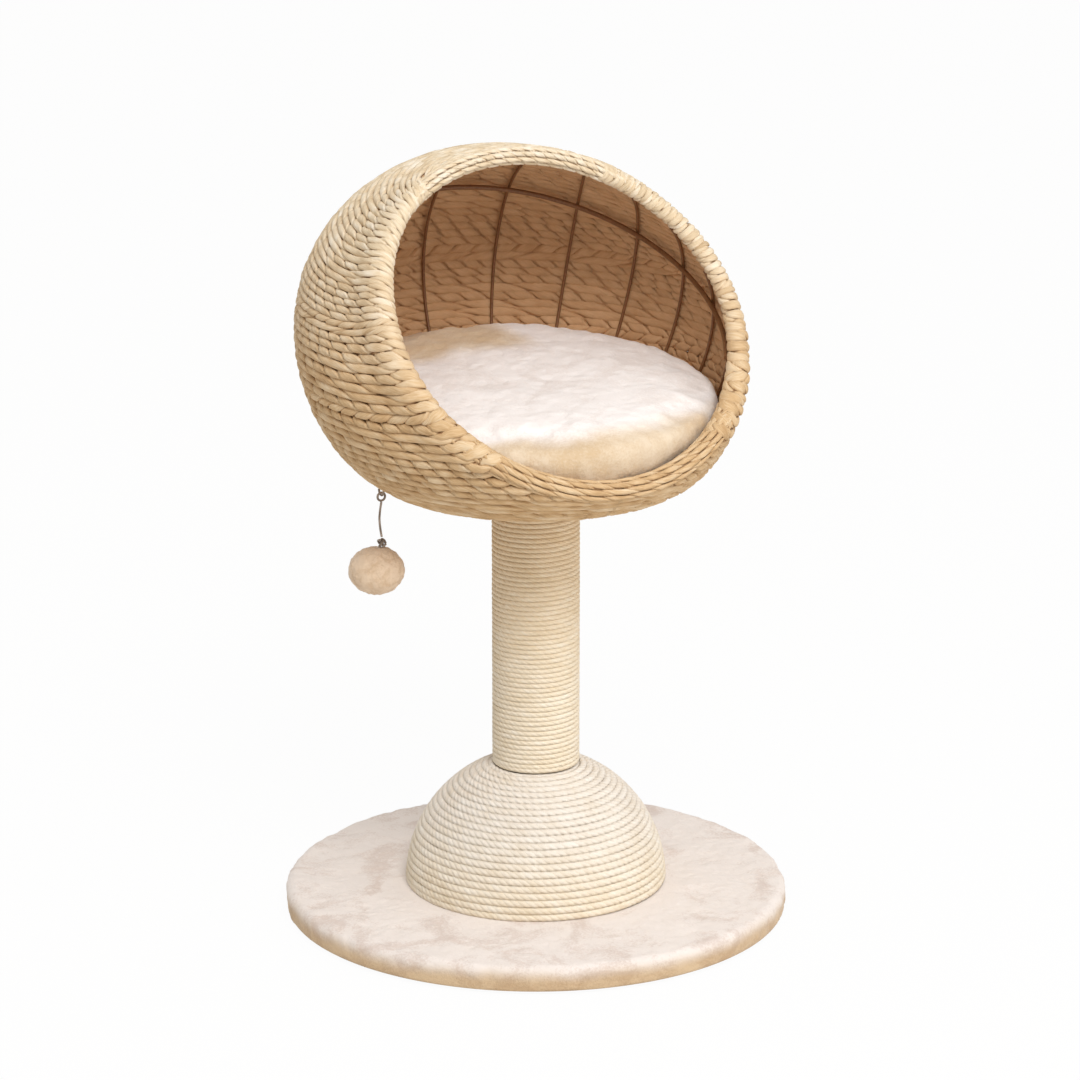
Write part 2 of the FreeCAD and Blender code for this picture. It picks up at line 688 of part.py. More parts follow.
def make_toy():
    strand = size("toy_strand_radius")
    whole = Part.makeTorus(size("anchor_loop"), strand, Vector(toy_x, toy_y, anchor_level), Vector(1, 0, 0))
    room = 4 * size("anchor_loop")
    below = Part.makeBox(room, room, room, Vector(toy_x - room / 2, toy_y - room / 2, anchor_level - room))
    node("toy_anchor", plain("toy_anchor", whole.common(below)))
    link = Part.makeTorus(size("link_loop"), strand, Vector(toy_x, toy_y, link_level), Vector(0, 1, 0))
    node("toy_link", plain("toy_link", link))
    cord = cylinder("toy_cord", "toy_strand_radius", "toy_cord_length", "0")
    cord.setExpression("Placement.Base.x", None)
    cord.setExpression("Placement.Base.y", None)
    cord.setExpression("Placement.Base.z", None)
    cord.Placement = Placement(Vector(toy_x, toy_y, cord_foot), Rotation())
    node("toy_cord", cord)
    knot = Part.makeSphere(size("knot_radius"), Vector(toy_x, toy_y, cord_foot - size("knot_radius")))
    wide, sunk = 2 * size("knot_radius"), size("knot_radius") / 9
    flat = Part.makeBox(wide, wide, wide, Vector(toy_x - wide / 2, toy_y - wide / 2, cord_foot - sunk))
    node("toy_knot", plain("toy_knot", knot.cut(flat)))
    ball = Part.makeSphere(size("ball_radius"))
    squash = Matrix()
    squash.scale(1, 1, size("ball_half_height") / size("ball_radius"))
    ball = ball.transformGeometry(squash)
    level = cord_foot - 2 * size("knot_radius") - size("ball_half_height") - size("fit_gap")
    ball.translate(Vector(toy_x - size("ball_offset"), toy_y, level))
    node("toy_ball", plain("toy_ball", ball))


make_base_board()
make_base_cover()
make_base_staples()
make_foot_pads()
make_dome_shell()
make_dome_rope()
make_dome_screws()
make_post_tube()
make_plug("post_plug_bottom", board_top)
make_plug("post_plug_top", basket_foot + " - plug_thickness")
bottom_plug_top = board_top + " + plug_thickness"
top_plug_bottom = basket_foot + " - plug_thickness"
make_tee_nut("tee_nut_bottom", bottom_plug_top, bottom_plug_top + " - nut_barrel_length")
make_tee_nut("tee_nut_top", top_plug_bottom + " - nut_flange", top_plug_bottom)
make_washer("base_washer", board_bottom + " + washer_rebate - washer_thickness")
make_bolt("base_bolt", board_bottom + " + washer_rebate - washer_thickness - head_height",
          board_bottom + " + washer_rebate - washer_thickness", "bolt_length")
make_post_rope()
make_basket_weave()
make_mouth_binding()
make_mouth_hoop()
make_floor_ring()
make_floor_board()
make_washer("basket_washer", floor_board_top + " - washer_rebate")
bolt_seat = floor_board_top + " - washer_rebate + washer_thickness"
make_bolt("basket_bolt", bolt_seat, bolt_seat + " - basket_bolt_length", "basket_bolt_length")
for rib_number in range(1, round(size("rib_count")) + 1):
    make_rib(rib_number)
make_arch_hoop()
make_cushion()
make_toy()
doc.recompute()

for thing in doc.Objects:
    if "Invalid" in thing.State or "Error" in thing.State:
        raise RuntimeError("%s did not build: %s" % (thing.Name, thing.State))
for label, thing in nodes.items():
    if thing.Shape.isNull() or not thing.Shape.isValid() or thing.Shape.Volume <= 0:
        raise RuntimeError("%s has no valid solid" % label)
os.makedirs("parts", exist_ok=True)
for label, thing in nodes.items():
    thing.Shape.exportStep("parts/%s.step" % label)
print("%d nodes written" % len(nodes))
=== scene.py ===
import math
import bpy
import bmesh
import numpy as np
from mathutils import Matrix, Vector


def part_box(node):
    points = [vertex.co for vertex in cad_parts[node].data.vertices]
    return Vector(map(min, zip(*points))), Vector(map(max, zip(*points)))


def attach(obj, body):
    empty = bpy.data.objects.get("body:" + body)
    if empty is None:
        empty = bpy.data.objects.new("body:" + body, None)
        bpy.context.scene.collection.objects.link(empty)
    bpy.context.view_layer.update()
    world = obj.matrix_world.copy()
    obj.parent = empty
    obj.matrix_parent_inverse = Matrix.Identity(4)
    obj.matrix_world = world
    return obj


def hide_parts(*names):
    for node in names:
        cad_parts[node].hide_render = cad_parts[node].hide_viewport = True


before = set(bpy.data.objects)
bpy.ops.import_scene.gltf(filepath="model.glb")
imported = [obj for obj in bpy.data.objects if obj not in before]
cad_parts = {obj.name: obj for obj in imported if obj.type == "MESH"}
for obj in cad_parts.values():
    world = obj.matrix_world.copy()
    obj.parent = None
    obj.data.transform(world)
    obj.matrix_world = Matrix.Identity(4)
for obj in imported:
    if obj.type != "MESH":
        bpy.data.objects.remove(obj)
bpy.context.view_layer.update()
scene = bpy.context.scene
scene.view_settings.view_transform = "Standard"
print("frame loaded,", len(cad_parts), "nodes")

# camera fitted to the photograph
photoCamera = {
    "aim": (0.0, 0.0, 0.400), "azimuth": -27.9, "elevation": 15.43, "distance": 4.0,
    "lens": 135.97, "shiftX": 0.0038, "shiftY": -0.0196,
}
azimuth, elevation = math.radians(photoCamera["azimuth"]), math.radians(photoCamera["elevation"])
towardsCamera = Vector((
    math.sin(azimuth) * math.cos(elevation), -math.cos(azimuth) * math.cos(elevation), math.sin(elevation)))
cameraData = bpy.data.cameras.new("photo_camera")
cameraData.sensor_width = 36
cameraData.lens = photoCamera["lens"]
cameraData.shift_x = photoCamera["shiftX"]
cameraData.shift_y = photoCamera["shiftY"]
cameraObject = bpy.data.objects.new("photo_camera", cameraData)
cameraObject.location = Vector(photoCamera["aim"]) + towardsCamera * photoCamera["distance"]
cameraObject.rotation_euler = (-towardsCamera).to_track_quat("-Z", "Y").to_euler()
scene.collection.objects.link(cameraObject)
scene.camera = cameraObject


# sRGB hex to linear light
def linear(hexColour):
    parts = [int(hexColour[place:place + 2], 16) / 255 for place in (1, 3, 5)]
    light = [part / 12.92 if part <= 0.04045 else ((part + 0.055) / 1.055) ** 2.4 for part in parts]
    return (*light, 1.0)


def perMetre(millimetres):
    return 1000 / millimetres  # texture scale that makes one lump this many millimetres wide


waveRadians = 20  # Blender's wave texture runs through this many radians a unit


def addNode(tree, kind, inputs=None, stops=None, **settings):
    node = tree.nodes.new("ShaderNode" + kind)
    for name, value in settings.items():
        setattr(node, name, value)
    for socket, value in (inputs or {}).items():
        if isinstance(value, bpy.types.NodeSocket):
            tree.links.new(value, node.inputs[socket])
        else:
            node.inputs[socket].default_value = value
    if stops:
        elements = node.color_ramp.elements
        while len(elements) < len(stops):
            elements.new(1.0)
        for element, (place, colour) in zip(elements, stops):
            element.position = place
            element.color = linear(colour) if isinstance(colour, str) else (colour, colour, colour, 1.0)
    return node


def newMaterial(name, **sockets):
    material = bpy.data.materials.new(name)
    material.use_nodes = True
    tree = material.node_tree
    shader = tree.nodes["Principled BSDF"]
    for socket, value in sockets.items():
        shader.inputs[socket.replace("_", " ")].default_value = value
    return material, tree, shader


# gives a surface its colour, and its relief from a height
def finishSurface(tree, shader, colour, height, strength, distance):
    tree.links.new(colour, shader.inputs["Base Color"])
    bump = addNode(tree, "Bump", {"Height": height, "Strength": strength, "Distance": distance})
    tree.links.new(bump.outputs["Normal"], shader.inputs["Normal"])


# smooth lumps between -1 and 1; grain is the width of a lump in metres
def softNoise(points, grain, seed):
    scaled = np.asarray(points) / grain
    cell = np.floor(scaled).astype(np.int64)
    part = scaled - cell
    part = part * part * (3 - 2 * part)
    total = np.zeros(len(scaled))
    for corner in range(8):
        step = np.array([corner & 1, corner >> 1 & 1, corner >> 2 & 1])
        spot = cell + step
        # large odd numbers scatter the corners of the cells
        mixed = (spot[:, 0] * 73856093) ^ (spot[:, 1] * 19349663) ^ (spot[:, 2] * 83492791)
        mixed = mixed ^ (seed * 668265263)
        mixed = (mixed ^ (mixed >> 15)) * 739187 & 0x7FFFFFFF
        mixed = (mixed ^ (mixed >> 12)) * 297121 & 0x7FFFFFFF
        weight = np.prod(np.where(step == 1, part, 1 - part), axis=1)
        total += weight * ((mixed >> 8 & 0xFFFF) / 32767.5 - 1)
    return total


# lumps of several sizes in one; each layer is its height, its grain and its seed
def lumpsOf(points, *layers):
    return sum(height * softNoise(points, grain, seed) for height, grain, seed in layers)


def unit(vectors):
    return vectors / np.maximum(np.linalg.norm(vectors, axis=1, keepdims=True), 1e-12)


# stores one value, or one vector, for each point of a mesh
def giveField(mesh, field, values):
    layer = mesh.attributes.new(field, "FLOAT_VECTOR" if values.ndim == 2 else "FLOAT", "POINT")
    layer.data.foreach_set("vector" if values.ndim == 2 else "value", values.astype(np.float32).ravel())


def smoothStep(values, start, end):
    share = np.clip((values - start) / (end - start), 0, 1)
    return share * share * (3 - 2 * share)


def meshPiece(name, points, quads, material, fields=None):
    mesh = bpy.data.meshes.new(name)
    mesh.vertices.add(len(points))
    mesh.vertices.foreach_set("co", np.asarray(points, dtype=np.float32).ravel())
    mesh.loops.add(quads.size)
    mesh.loops.foreach_set("vertex_index", quads.astype(np.int32).ravel())
    mesh.polygons.add(len(quads))
    mesh.polygons.foreach_set("loop_start", np.arange(0, quads.size, 4, dtype=np.int32))
    for field, values in (fields or {}).items():
        giveField(mesh, field, values)
    mesh.update(calc_edges=True)
    mesh.validate()
    mesh.shade_smooth()
    mesh.materials.append(material)
    piece = bpy.data.objects.new(name, mesh)
    scene.collection.objects.link(piece)
    return piece


def pointsOf(mesh):
    points = np.empty(len(mesh.vertices) * 3, dtype=np.float32)
    mesh.vertices.foreach_get("co", points)
    return points.reshape(-1, 3).astype(float)


def normalsOf(mesh):
    normals = np.empty(len(mesh.vertices) * 3, dtype=np.float32)
    mesh.vertex_normals.foreach_get("vector", normals)
    return normals.reshape(-1, 3).astype(float)


def settle(piece, body, slot, *nodes):
    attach(piece, body)
    if nodes:
        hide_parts(*nodes)
    return piece


def lengthAlong(line):
    return np.concatenate([[0], np.cumsum(np.linalg.norm(np.diff(line, axis=0), axis=1))])


# points about one step apart along a line, with the values that go with them
def evenly(line, step, *others):
    reach = lengthAlong(line)
    count = max(4, int(round(reach[-1] / step)) + 1)
    places = np.linspace(0, reach[-1], count)
    results = []
    for values in (line, *others):
        columns = values if values.ndim == 2 else values[:, None]
        spread = np.stack([np.interp(places, reach, column) for column in columns.T], axis=1)
        results.append(spread if values.ndim == 2 else spread[:, 0])
    return results


# quads between rings of points; closed joins the last ring to the first
def ringQuads(rings, sides, closed):
    first = np.arange(rings if closed else rings - 1)[:, None] * sides
    after = (first + sides) % (rings * sides)
    here = np.arange(sides)[None, :]
    there = (here + 1) % sides
    return np.stack([first + here, first + there, after + there, after + here], axis=2).reshape(-1, 4)


ropeLay = {
    "slackGrain": 0.07,  # metres over which the twist tightens and slackens
    "spreadFrom": 0.2,  # share of the rope's depth below which it flattens out sideways
    "plyTint": 0.37, "tintShift": 7, "phases": (0, 6.28),
}


class RopeStore:
    def __init__(self):
        self.points, self.quads, self.strand, self.tint, self.face = [], [], [], [], []
        self.count = 0

    # lays one rope of twisted plies along a line; deep and wide are its half sizes outward and sideways
    def lay(self, line, outward, deep, wide, rope, phase, tint, closed=False):
        count, plies, sides = len(line), rope["plies"], rope["sides"]
        if closed:
            ahead = unit(np.roll(line, -1, 0) - np.roll(line, 1, 0))
        else:
            ahead = unit(np.gradient(line, axis=0))
        up = unit(outward - ahead * np.sum(outward * ahead, axis=1, keepdims=True))
        across = np.cross(ahead, up)
        along = lengthAlong(line)
        whole = along[-1] + (np.linalg.norm(line[0] - line[-1]) if closed else 0)
        lay = whole / max(1, round(whole / rope["lay"])) if closed else rope["lay"]
        lay = lay * rope.get("hand", 1)
        slack = rope.get("wobble", 0) * softNoise(line, ropeLay["slackGrain"], int(tint * 9999))
        ring = 2 * math.pi * np.arange(sides) / sides
        radial = rope["offset"] + rope["thick"] * np.cos(ring)[None, :]
        side = rope["broad"] * np.sin(ring)[None, :]
        size = float(np.mean(wide)) * rope["broad"]
        quads = ringQuads(count, sides, closed)
        if not closed:
            caps = []
            last = (count - 1) * sides
            for corner in range(1, sides - 2, 2):
                caps.append([0, corner + 2, corner + 1, corner])
                caps.append([last, last + corner, last + corner + 1, last + corner + 2])
            quads = np.concatenate([quads, np.array(caps)])
        for ply in range(plies):
            turn = 2 * math.pi * (along / lay + ply / plies) + phase + slack
            # each ply stays outside for most of its turn
            turn = turn - rope.get("dwell", 0) * np.sin(2 * turn)
            outwardPart = radial * np.cos(turn)[:, None] - side * np.sin(turn)[:, None]
            sidePart = radial * np.sin(turn)[:, None] + side * np.cos(turn)[:, None]
            flat = np.clip(ropeLay["spreadFrom"] - outwardPart, 0, 1)
            sidePart = sidePart * (1 + rope.get("spread", 0) * flat)
            points = line[:, None, :] + (deep[:, None] * outwardPart)[:, :, None] * up[:, None, :]
            points = points + (wide[:, None] * sidePart)[:, :, None] * across[:, None, :]
            place = np.stack([
                np.repeat(along + tint * ropeLay["tintShift"], sides), np.tile(np.cos(ring) * size, count),
                np.tile(np.sin(ring) * size, count)], axis=1)
            self.points.append(points.reshape(-1, 3))
            self.quads.append(quads + self.count)
            self.strand.append(place)
            self.tint.append(np.full(count * sides, (tint + ropeLay["plyTint"] * ply) % 1))
            self.face.append((np.abs(outwardPart) if rope.get("oneFace") else outwardPart).reshape(-1))
            self.count += count * sides

    def build(self, name, material):
        fields = {"strand": np.concatenate(self.strand), "tint": np.concatenate(self.tint),
                  "face": np.concatenate(self.face)}
        return meshPiece(name, np.concatenate(self.points), np.concatenate(self.quads), material, fields)


# Toy cord: it hangs from the link loop to the knot, 35 mm, with a slight bow.
toyCord = {
    "route": [(-0.151, 0.035, 0.4279), (-0.1526, 0.0355, 0.4190),
              (-0.1532, 0.0356, 0.4060), (-0.151, 0.035, 0.3929)],
    "diameter": 0.0022, "length": 0.0352,
}
cordCurve = bpy.data.curves.new("toy_cord_line", "CURVE")
cordCurve.dimensions = "3D"
cordSpline = cordCurve.splines.new("NURBS")
cordSpline.points.add(len(toyCord["route"]) - 1)
for spot, place in zip(cordSpline.points, toyCord["route"]):
    spot.co = (*place, 1.0)
cordSpline.order_u = 3
cordSpline.use_endpoint_u = True
cordSpline.resolution_u = 12
cordCurve.bevel_depth = toyCord["diameter"] / 2
cordCurve.bevel_resolution = 4
cordCurve.use_fill_caps = True
cordPiece = bpy.data.objects.new("toy_cord_line", cordCurve)
scene.collection.objects.link(cordPiece)


# shade of spun fibre: fine streaks along each ply, broad patches, and a tint of its own for each ply
def fibreShade(tree, spun):
    strand = addNode(tree, "Attribute", attribute_name="strand").outputs["Vector"]
    tint = addNode(tree, "Attribute", attribute_name="tint").outputs["Fac"]
    stretched = addNode(tree, "Mapping", {
        "Vector": strand, "Scale": (spun["stretch"], 1.0, 1.0)}).outputs["Vector"]
    fibres = addNode(tree, "TexNoise", {
        "Vector": stretched, "Scale": perMetre(spun["fibre"]), "Detail": spun["detail"],
        "Roughness": spun["rough"]}).outputs["Fac"]
    patches = addNode(tree, "TexNoise", {
        "Vector": strand, "Scale": perMetre(spun["patch"]), "Detail": 2.0}).outputs["Fac"]
    shade = addNode(tree, "Math", {0: fibres, 1: patches}, operation="ADD").outputs[0]
    shade = addNode(tree, "Math", {0: tint, 1: spun["tint"], 2: shade}, operation="MULTIPLY_ADD").outputs[0]
    ranged = addNode(tree, "MapRange", {
        "Value": shade, "From Min": spun["range"][0], "From Max": spun["range"][1]}).outputs[0]
    return strand, fibres, ranged


# 0 below one level and 1 above the other, in metres from the floor
def heightShare(tree, low, high):
    place = addNode(tree, "TexCoord").outputs["Object"]
    level = addNode(tree, "SeparateXYZ", {"Vector": place}).outputs["Z"]
    return addNode(tree, "MapRange", {
        "Value": level, "From Min": low, "From Max": high}, interpolation_type="SMOOTHSTEP").outputs[0]


# Twisted kraft paper rope: two soft plies, matt, pale fibres along each ply; its browner inner side and brown
# crevices are painted shade, and its paler top is painted light.
paperSpun = {"stretch": 0.12, "fibre": 1.1, "detail": 4.0, "rough": 0.6, "patch": 28, "tint": 0.22,
             "range": (0.7, 1.55)}
paperRope, tree, shader = newMaterial("twisted_kraft_paper_rope", Roughness=0.78, Specular_IOR_Level=0.32)
strand, fibres, ranged = fibreShade(tree, paperSpun)
face = addNode(tree, "Attribute", attribute_name="face").outputs["Fac"]
paperTonesLitAndShaded = [
    [(0.0, "#B28C60"), (0.45, "#D0AF84"), (1.0, "#E8D3B3")],
    [(0.0, "#C8AF8B"), (0.45, "#E4D1B3"), (1.0, "#F8F0E2")],
    [(0.0, "#C2966B"), (1.0, "#DDB58B")],
]
tan, paleTop, inner = [
    addNode(tree, "ValToRGB", {"Fac": ranged}, stops=stops).outputs["Color"] for stops in paperTonesLitAndShaded]
# painted light: the rope turns paler towards the top of the basket, where the light from above falls
height = heightShare(tree, 0.53, 0.72)
outer = addNode(tree, "Mix", {0: height, 6: tan, 7: paleTop}, data_type="RGBA").outputs[2]
# painted shade: the inner face of the wall, under the hood, takes the browner inner tones
side = addNode(tree, "MapRange", {
    "Value": face, "From Min": -0.35, "From Max": 0.10}, interpolation_type="SMOOTHSTEP").outputs[0]
colour = addNode(tree, "Mix", {0: side, 6: inner, 7: outer}, data_type="RGBA").outputs[2]
# painted shade: the rope darkens to brown #8A6441 in the crevices between rows and plies, where shade falls
behind = addNode(tree, "Math", {0: face, 1: -2.0}, operation="MULTIPLY").outputs[0]
depth = addNode(tree, "Math", {0: face, 1: behind}, operation="MAXIMUM").outputs[0]
shown = addNode(tree, "MapRange", {
    "Value": depth, "From Min": 0.0, "From Max": 0.42}, interpolation_type="SMOOTHSTEP").outputs[0]
colour = addNode(tree, "Mix", {0: shown, 6: linear("#8A6441"), 7: colour}, data_type="RGBA").outputs[2]
creased = addNode(tree, "Mapping", {"Vector": strand, "Rotation": (0.0, 0.0, 0.9)}).outputs["Vector"]
creases = addNode(tree, "TexWave", {
    "Vector": creased, "Scale": perMetre(3.2) / waveRadians, "Distortion": 5.0, "Detail": 2.0,
    "Detail Scale": 1.6}).outputs["Fac"]
relief = addNode(tree, "Math", {0: creases, 1: 0.6, 2: fibres}, operation="MULTIPLY_ADD").outputs[0]
finishSurface(tree, shader, colour, relief, 0.55, 0.0006)

# Spun sisal: three dry plies of cream leaf fibre, matt with stray fibres; it deepens to tan up the post,
# partly its own tone and partly painted shade where the basket above shades the post.
sisalSpun = {"stretch": 0.2, "fibre": 0.6, "detail": 3.0, "rough": 0.65, "patch": 45, "tint": 0.16,
             "range": (0.75, 1.45)}


def makeSisal(name, stops, upperStops, low, high):
    material, tree, shader = newMaterial(name, Roughness=0.82, Specular_IOR_Level=0.28)
    fibres, ranged = fibreShade(tree, sisalSpun)[1:]
    lower = addNode(tree, "ValToRGB", {"Fac": ranged}, stops=stops).outputs["Color"]
    upper = addNode(tree, "ValToRGB", {"Fac": ranged}, stops=upperStops).outputs["Color"]
    height = heightShare(tree, low, high)
    colour = addNode(tree, "Mix", {0: height, 6: lower, 7: upper}, data_type="RGBA").outputs[2]
    finishSurface(tree, shader, colour, fibres, 0.6, 0.0004)
    return material


paleSisal = [(0.0, "#E6DAC8"), (0.5, "#F0E7DB"), (1.0, "#F7F2EA")]
creamSisal = [(0.0, "#E8D7BA"), (0.5, "#F3E6D0"), (1.0, "#FAF3E6")]
tanShadedSisal = [(0.0, "#E6CCA5"), (0.5, "#F2DBB9"), (1.0, "#F9EBD2")]
domeSisal = makeSisal("bleached_spun_sisal", creamSisal, paleSisal, 0.028, 0.120)
# the post's top tones are partly the sisal's tan and partly painted shade cast by the basket
postSisal = makeSisal("natural_spun_sisal", creamSisal, tanShadedSisal, 0.19, 0.42)


# Short knitted plush: dense soft pile, paler or darker where it is brushed, with a velvet edge light; where
# the pale field falls it takes the edge tones, painted shade on the base and cushion and random patches on
# the toy.
def makePlush(name, pile, patch, edge, patchSize):
    material, tree, shader = newMaterial(
        name, Roughness=0.95, Specular_IOR_Level=0.15, Sheen_Weight=0.25, Sheen_Roughness=0.45)
    place = addNode(tree, "TexCoord").outputs["Object"]
    pale = addNode(tree, "Attribute", attribute_name="pale").outputs["Fac"]
    brushed = addNode(tree, "TexNoise", {
        "Vector": place, "Scale": perMetre(patchSize), "Detail": 4.0, "Roughness": 0.55,
        "Distortion": 1.2}).outputs["Fac"]
    tufts = addNode(tree, "TexNoise", {
        "Vector": place, "Scale": perMetre(2.4), "Detail": 3.0, "Roughness": 0.7}).outputs["Fac"]
    mixed = addNode(tree, "Math", {0: tufts, 1: 0.45, 2: brushed}, operation="MULTIPLY_ADD").outputs[0]
    ranged = addNode(tree, "MapRange", {
        "Value": mixed, "From Min": 0.52, "From Max": 0.90}, interpolation_type="SMOOTHSTEP").outputs[0]
    top = addNode(tree, "ValToRGB", {"Fac": ranged}, stops=[(0.0, patch), (0.6, pile), (1.0, pile)])
    # edge tones: painted shade on the base's side and the cushion's front and rear left, random patches on
    # the toy ball
    rim = addNode(tree, "ValToRGB", {"Fac": ranged}, stops=[(0.0, edge[0]), (1.0, edge[1])])
    colour = addNode(tree, "Mix", {
        0: pale, 6: rim.outputs["Color"], 7: top.outputs["Color"]}, data_type="RGBA").outputs[2]
    finishSurface(tree, shader, colour, tufts, 0.7, 0.0012)
    return material


# the edge tones are painted shade on the base's side and on the cushion's front and rear left; on the toy
# ball they are random patches
basePlush = makePlush("blush_knitted_plush", "#EFE6E0", "#DDCEC5", ("#C1A483", "#D5BB99"), 60)
cushionPlush = makePlush("cream_knitted_plush", "#F6F0ED", "#ECE3DE", ("#CFB593", "#E0CEB6"), 70)
toyPlush = makePlush("beige_knitted_plush", "#E6CFB6", "#D3B99B", ("#CFB293", "#DFC7AC"), 18)
print("soft materials ready")

# Basket: rows of paper rope, level below and rising to the back above, laid on the leaning bowl and hood.
basket = {
    "foot": 0.430, "belly": 0.567, "lean": 0.25, "floorRadius": 0.112, "bellyRadius": 0.220,
    "bowlDepth": 0.137, "hoodHeight": 0.1905, "mouthTilt": 39.8, "hoopWire": 0.0025,
    # rows: their spacing, where they end, and how they bend up beside the mouth and thin out
    "pitch": 0.0085, "fanPitch": 0.0091, "fanLevel": 0.600, "fanEnd": 25, "ridgeEnd": 0.0925,
    "rowEnd": 0.0915, "loopSpots": 900, "leastSpots": 12, "bendFrom": 0.030, "bendUp": 0.010,
    "bendSide": 0.15, "bendLimit": 1.3, "liftFrom": 0.066, "lift": 0.0026, "taper": 0.020, "taperTo": 0.45,
    "dive": 0.0030,
    # ends that turn over the hoop; the angles are degrees
    "overSteep": 0.52, "overReach": (0.0064, 0.0084), "overGrow": (44, 74), "overFade": (92, 118),
    "overDeep": 0.0032, "overFrom": 14, "overEnd": 215, "overSpots": 18, "overInner": (1.60, 0.55),
    "overDrift": 0.8, "overWidest": 1.35,
    # the rope; each noise is its height and its grain
    "deep": 0.0056, "middle": 0.0060, "step": 0.0034, "fullness": 1.11, "gapLimits": (0.60, 1.25),
    "sideNoise": (0.0005, 0.045), "outNoise": (0.0006, 0.030), "sink": 0.0004, "widthNoise": (0.06, 0.025),
    "sameHand": 0.92, "lays": (0.037, 0.054), "smoothLays": (0.085, 0.125), "smoothShare": 0.33,
    "rope": {"plies": 2, "sides": 10, "offset": 0.42, "thick": 0.58, "broad": 0.85, "spread": 0.50,
             "wobble": 0.5, "dwell": 0.33},
}
mouthTilt = math.radians(basket["mouthTilt"])
mouthNormal = np.array([0, -math.cos(mouthTilt), math.sin(mouthTilt)])
uphill = np.array([0, math.sin(mouthTilt), math.cos(mouthTilt)])
bellyCentre = np.array([0, basket["lean"] * (basket["belly"] - basket["foot"]), basket["belly"]])
hoopLow, hoopHigh = [np.array(corner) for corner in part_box("mouth_hoop")]
hoopCentre = (hoopLow + hoopHigh) / 2
hoopRadius = (hoopHigh[0] - hoopLow[0]) / 2 - basket["hoopWire"]
ropeDraw = np.random.default_rng(7)


def leanAt(level):
    return basket["lean"] * (level - basket["foot"])


def basketRadius(level):
    height = level - basket["belly"]
    swell = basket["bellyRadius"] - basket["floorRadius"]
    bowl = basket["floorRadius"] + swell * np.sqrt(np.clip(1 - (height / basket["bowlDepth"]) ** 2, 0, 1))
    hood = basket["bellyRadius"] * np.sqrt(np.clip(1 - (height / basket["hoodHeight"]) ** 2, 0, 1))
    radius = np.where(height < 0, bowl, hood)
    return np.where((level < basket["foot"]) | (height > basket["hoodHeight"]), 0, radius)


def basketNormal(points):
    height = points[:, 2] - basket["belly"]
    below = height / basket["bowlDepth"]
    root = np.sqrt(np.clip(1 - below ** 2, 0.0004, 1))
    swell = basket["bellyRadius"] - basket["floorRadius"]
    bowlSlope = -(basket["floorRadius"] + swell * root) * swell * below / (basket["bowlDepth"] * root)
    hoodSlope = -basket["bellyRadius"] ** 2 * height / basket["hoodHeight"] ** 2
    slope = np.where(height < 0, bowlSlope, hoodSlope)
    back = points[:, 1] - leanAt(points[:, 2])
    return unit(np.stack([points[:, 0], back, -basket["lean"] * back - slope], axis=1))


# where rays from a point inside leave the basket's outside
def basketReach(start, rays):
    near, far = np.zeros(len(rays)), np.full(len(rays), 0.6)  # metres, from inside to well past the wall
    for _ in range(40):
        middle = (near + far) / 2
        spot = start + rays * middle[:, None]
        back = spot[:, 1] - leanAt(spot[:, 2])
        inside = spot[:, 0] ** 2 + back ** 2 < basketRadius(spot[:, 2]) ** 2
        near, far = np.where(inside, middle, near), np.where(inside, far, middle)
    return start + rays * near[:, None]


# how far a point stands out towards the mouth
def towardsMouth(points):
    return (points - bellyCentre) @ mouthNormal


# one loop round the basket in a plane that rises to the back; beside the mouth it bends up to the hoop
def basketLoop(middle, rise):
    turn = np.linspace(-math.pi / 2, 1.5 * math.pi, basket["loopSpots"], endpoint=False)
    ahead = np.array([0, math.cos(rise), math.sin(rise)])
    rays = np.cos(turn)[:, None] * np.array([1.0, 0, 0]) + np.sin(turn)[:, None] * ahead
    line = basketReach(middle, rays)
    bend = (towardsMouth(line) - basket["bendFrom"]) / (basket["rowEnd"] - basket["bendFrom"])
    near = np.clip(bend, 0, basket["bendLimit"])
    beside = np.clip(np.abs(line[:, 0]) / basket["bendSide"], 0, 1)
    bent = line - middle
    bent[:, 2] += basket["bendUp"] * near ** 2 * beside ** 2
    return basketReach(middle, unit(bent))


# at spokes of the hoop: along it, out of the basket's side, and over it towards the mouth
def hoopSides(spoke, normal):
    along = np.cross(mouthNormal, spoke)
    out = unit(normal - along * np.sum(normal * along, axis=1, keepdims=True))
    over = np.cross(out, along)
    return along, out, over * np.sign(over @ mouthNormal)[:, None]


# the end of a row where it turns over the hoop and down inside, or nothing where it runs along the hoop
def overHoop(line, outward, gap):
    spoke = line[-1:] - hoopCentre
    spoke = unit(spoke - mouthNormal * (spoke @ mouthNormal)[:, None])
    along, out, over = [side[0] for side in hoopSides(spoke, outward[-1:])]
    spoke = spoke[0]
    heading = unit(line[-1:] - line[-4:-3])[0]
    steep = heading @ over
    if steep < basket["overSteep"]:
        return None
    turn = np.radians(np.linspace(basket["overFrom"], basket["overEnd"], basket["overSpots"]))[:, None]
    rays = np.cos(turn) * out + np.sin(turn) * over
    drift = np.clip((heading @ along) / steep, -basket["overDrift"], basket["overDrift"])
    aside = math.degrees(abs(math.atan2(spoke[0], spoke @ uphill)))
    reach = np.interp(aside, basket["overGrow"], basket["overReach"])
    # the left side rolls further in than the right
    inner = basket["overInner"][0 if spoke[0] < 0 else 1]
    inner = np.interp(aside, (*basket["overGrow"], *basket["overFade"]), (1, inner, inner, 1))
    curl = np.cos(turn) * np.where(np.cos(turn) < 0, inner, 1) * out + np.sin(turn) * over
    curl = curl + drift * np.clip(np.sin(turn), 0, 1) * along
    wide = gap[-1] * min(basket["overWidest"], 1 / steep)
    return hoopCentre + hoopRadius * spoke + reach * curl, rays, np.full(len(turn), wide), reach


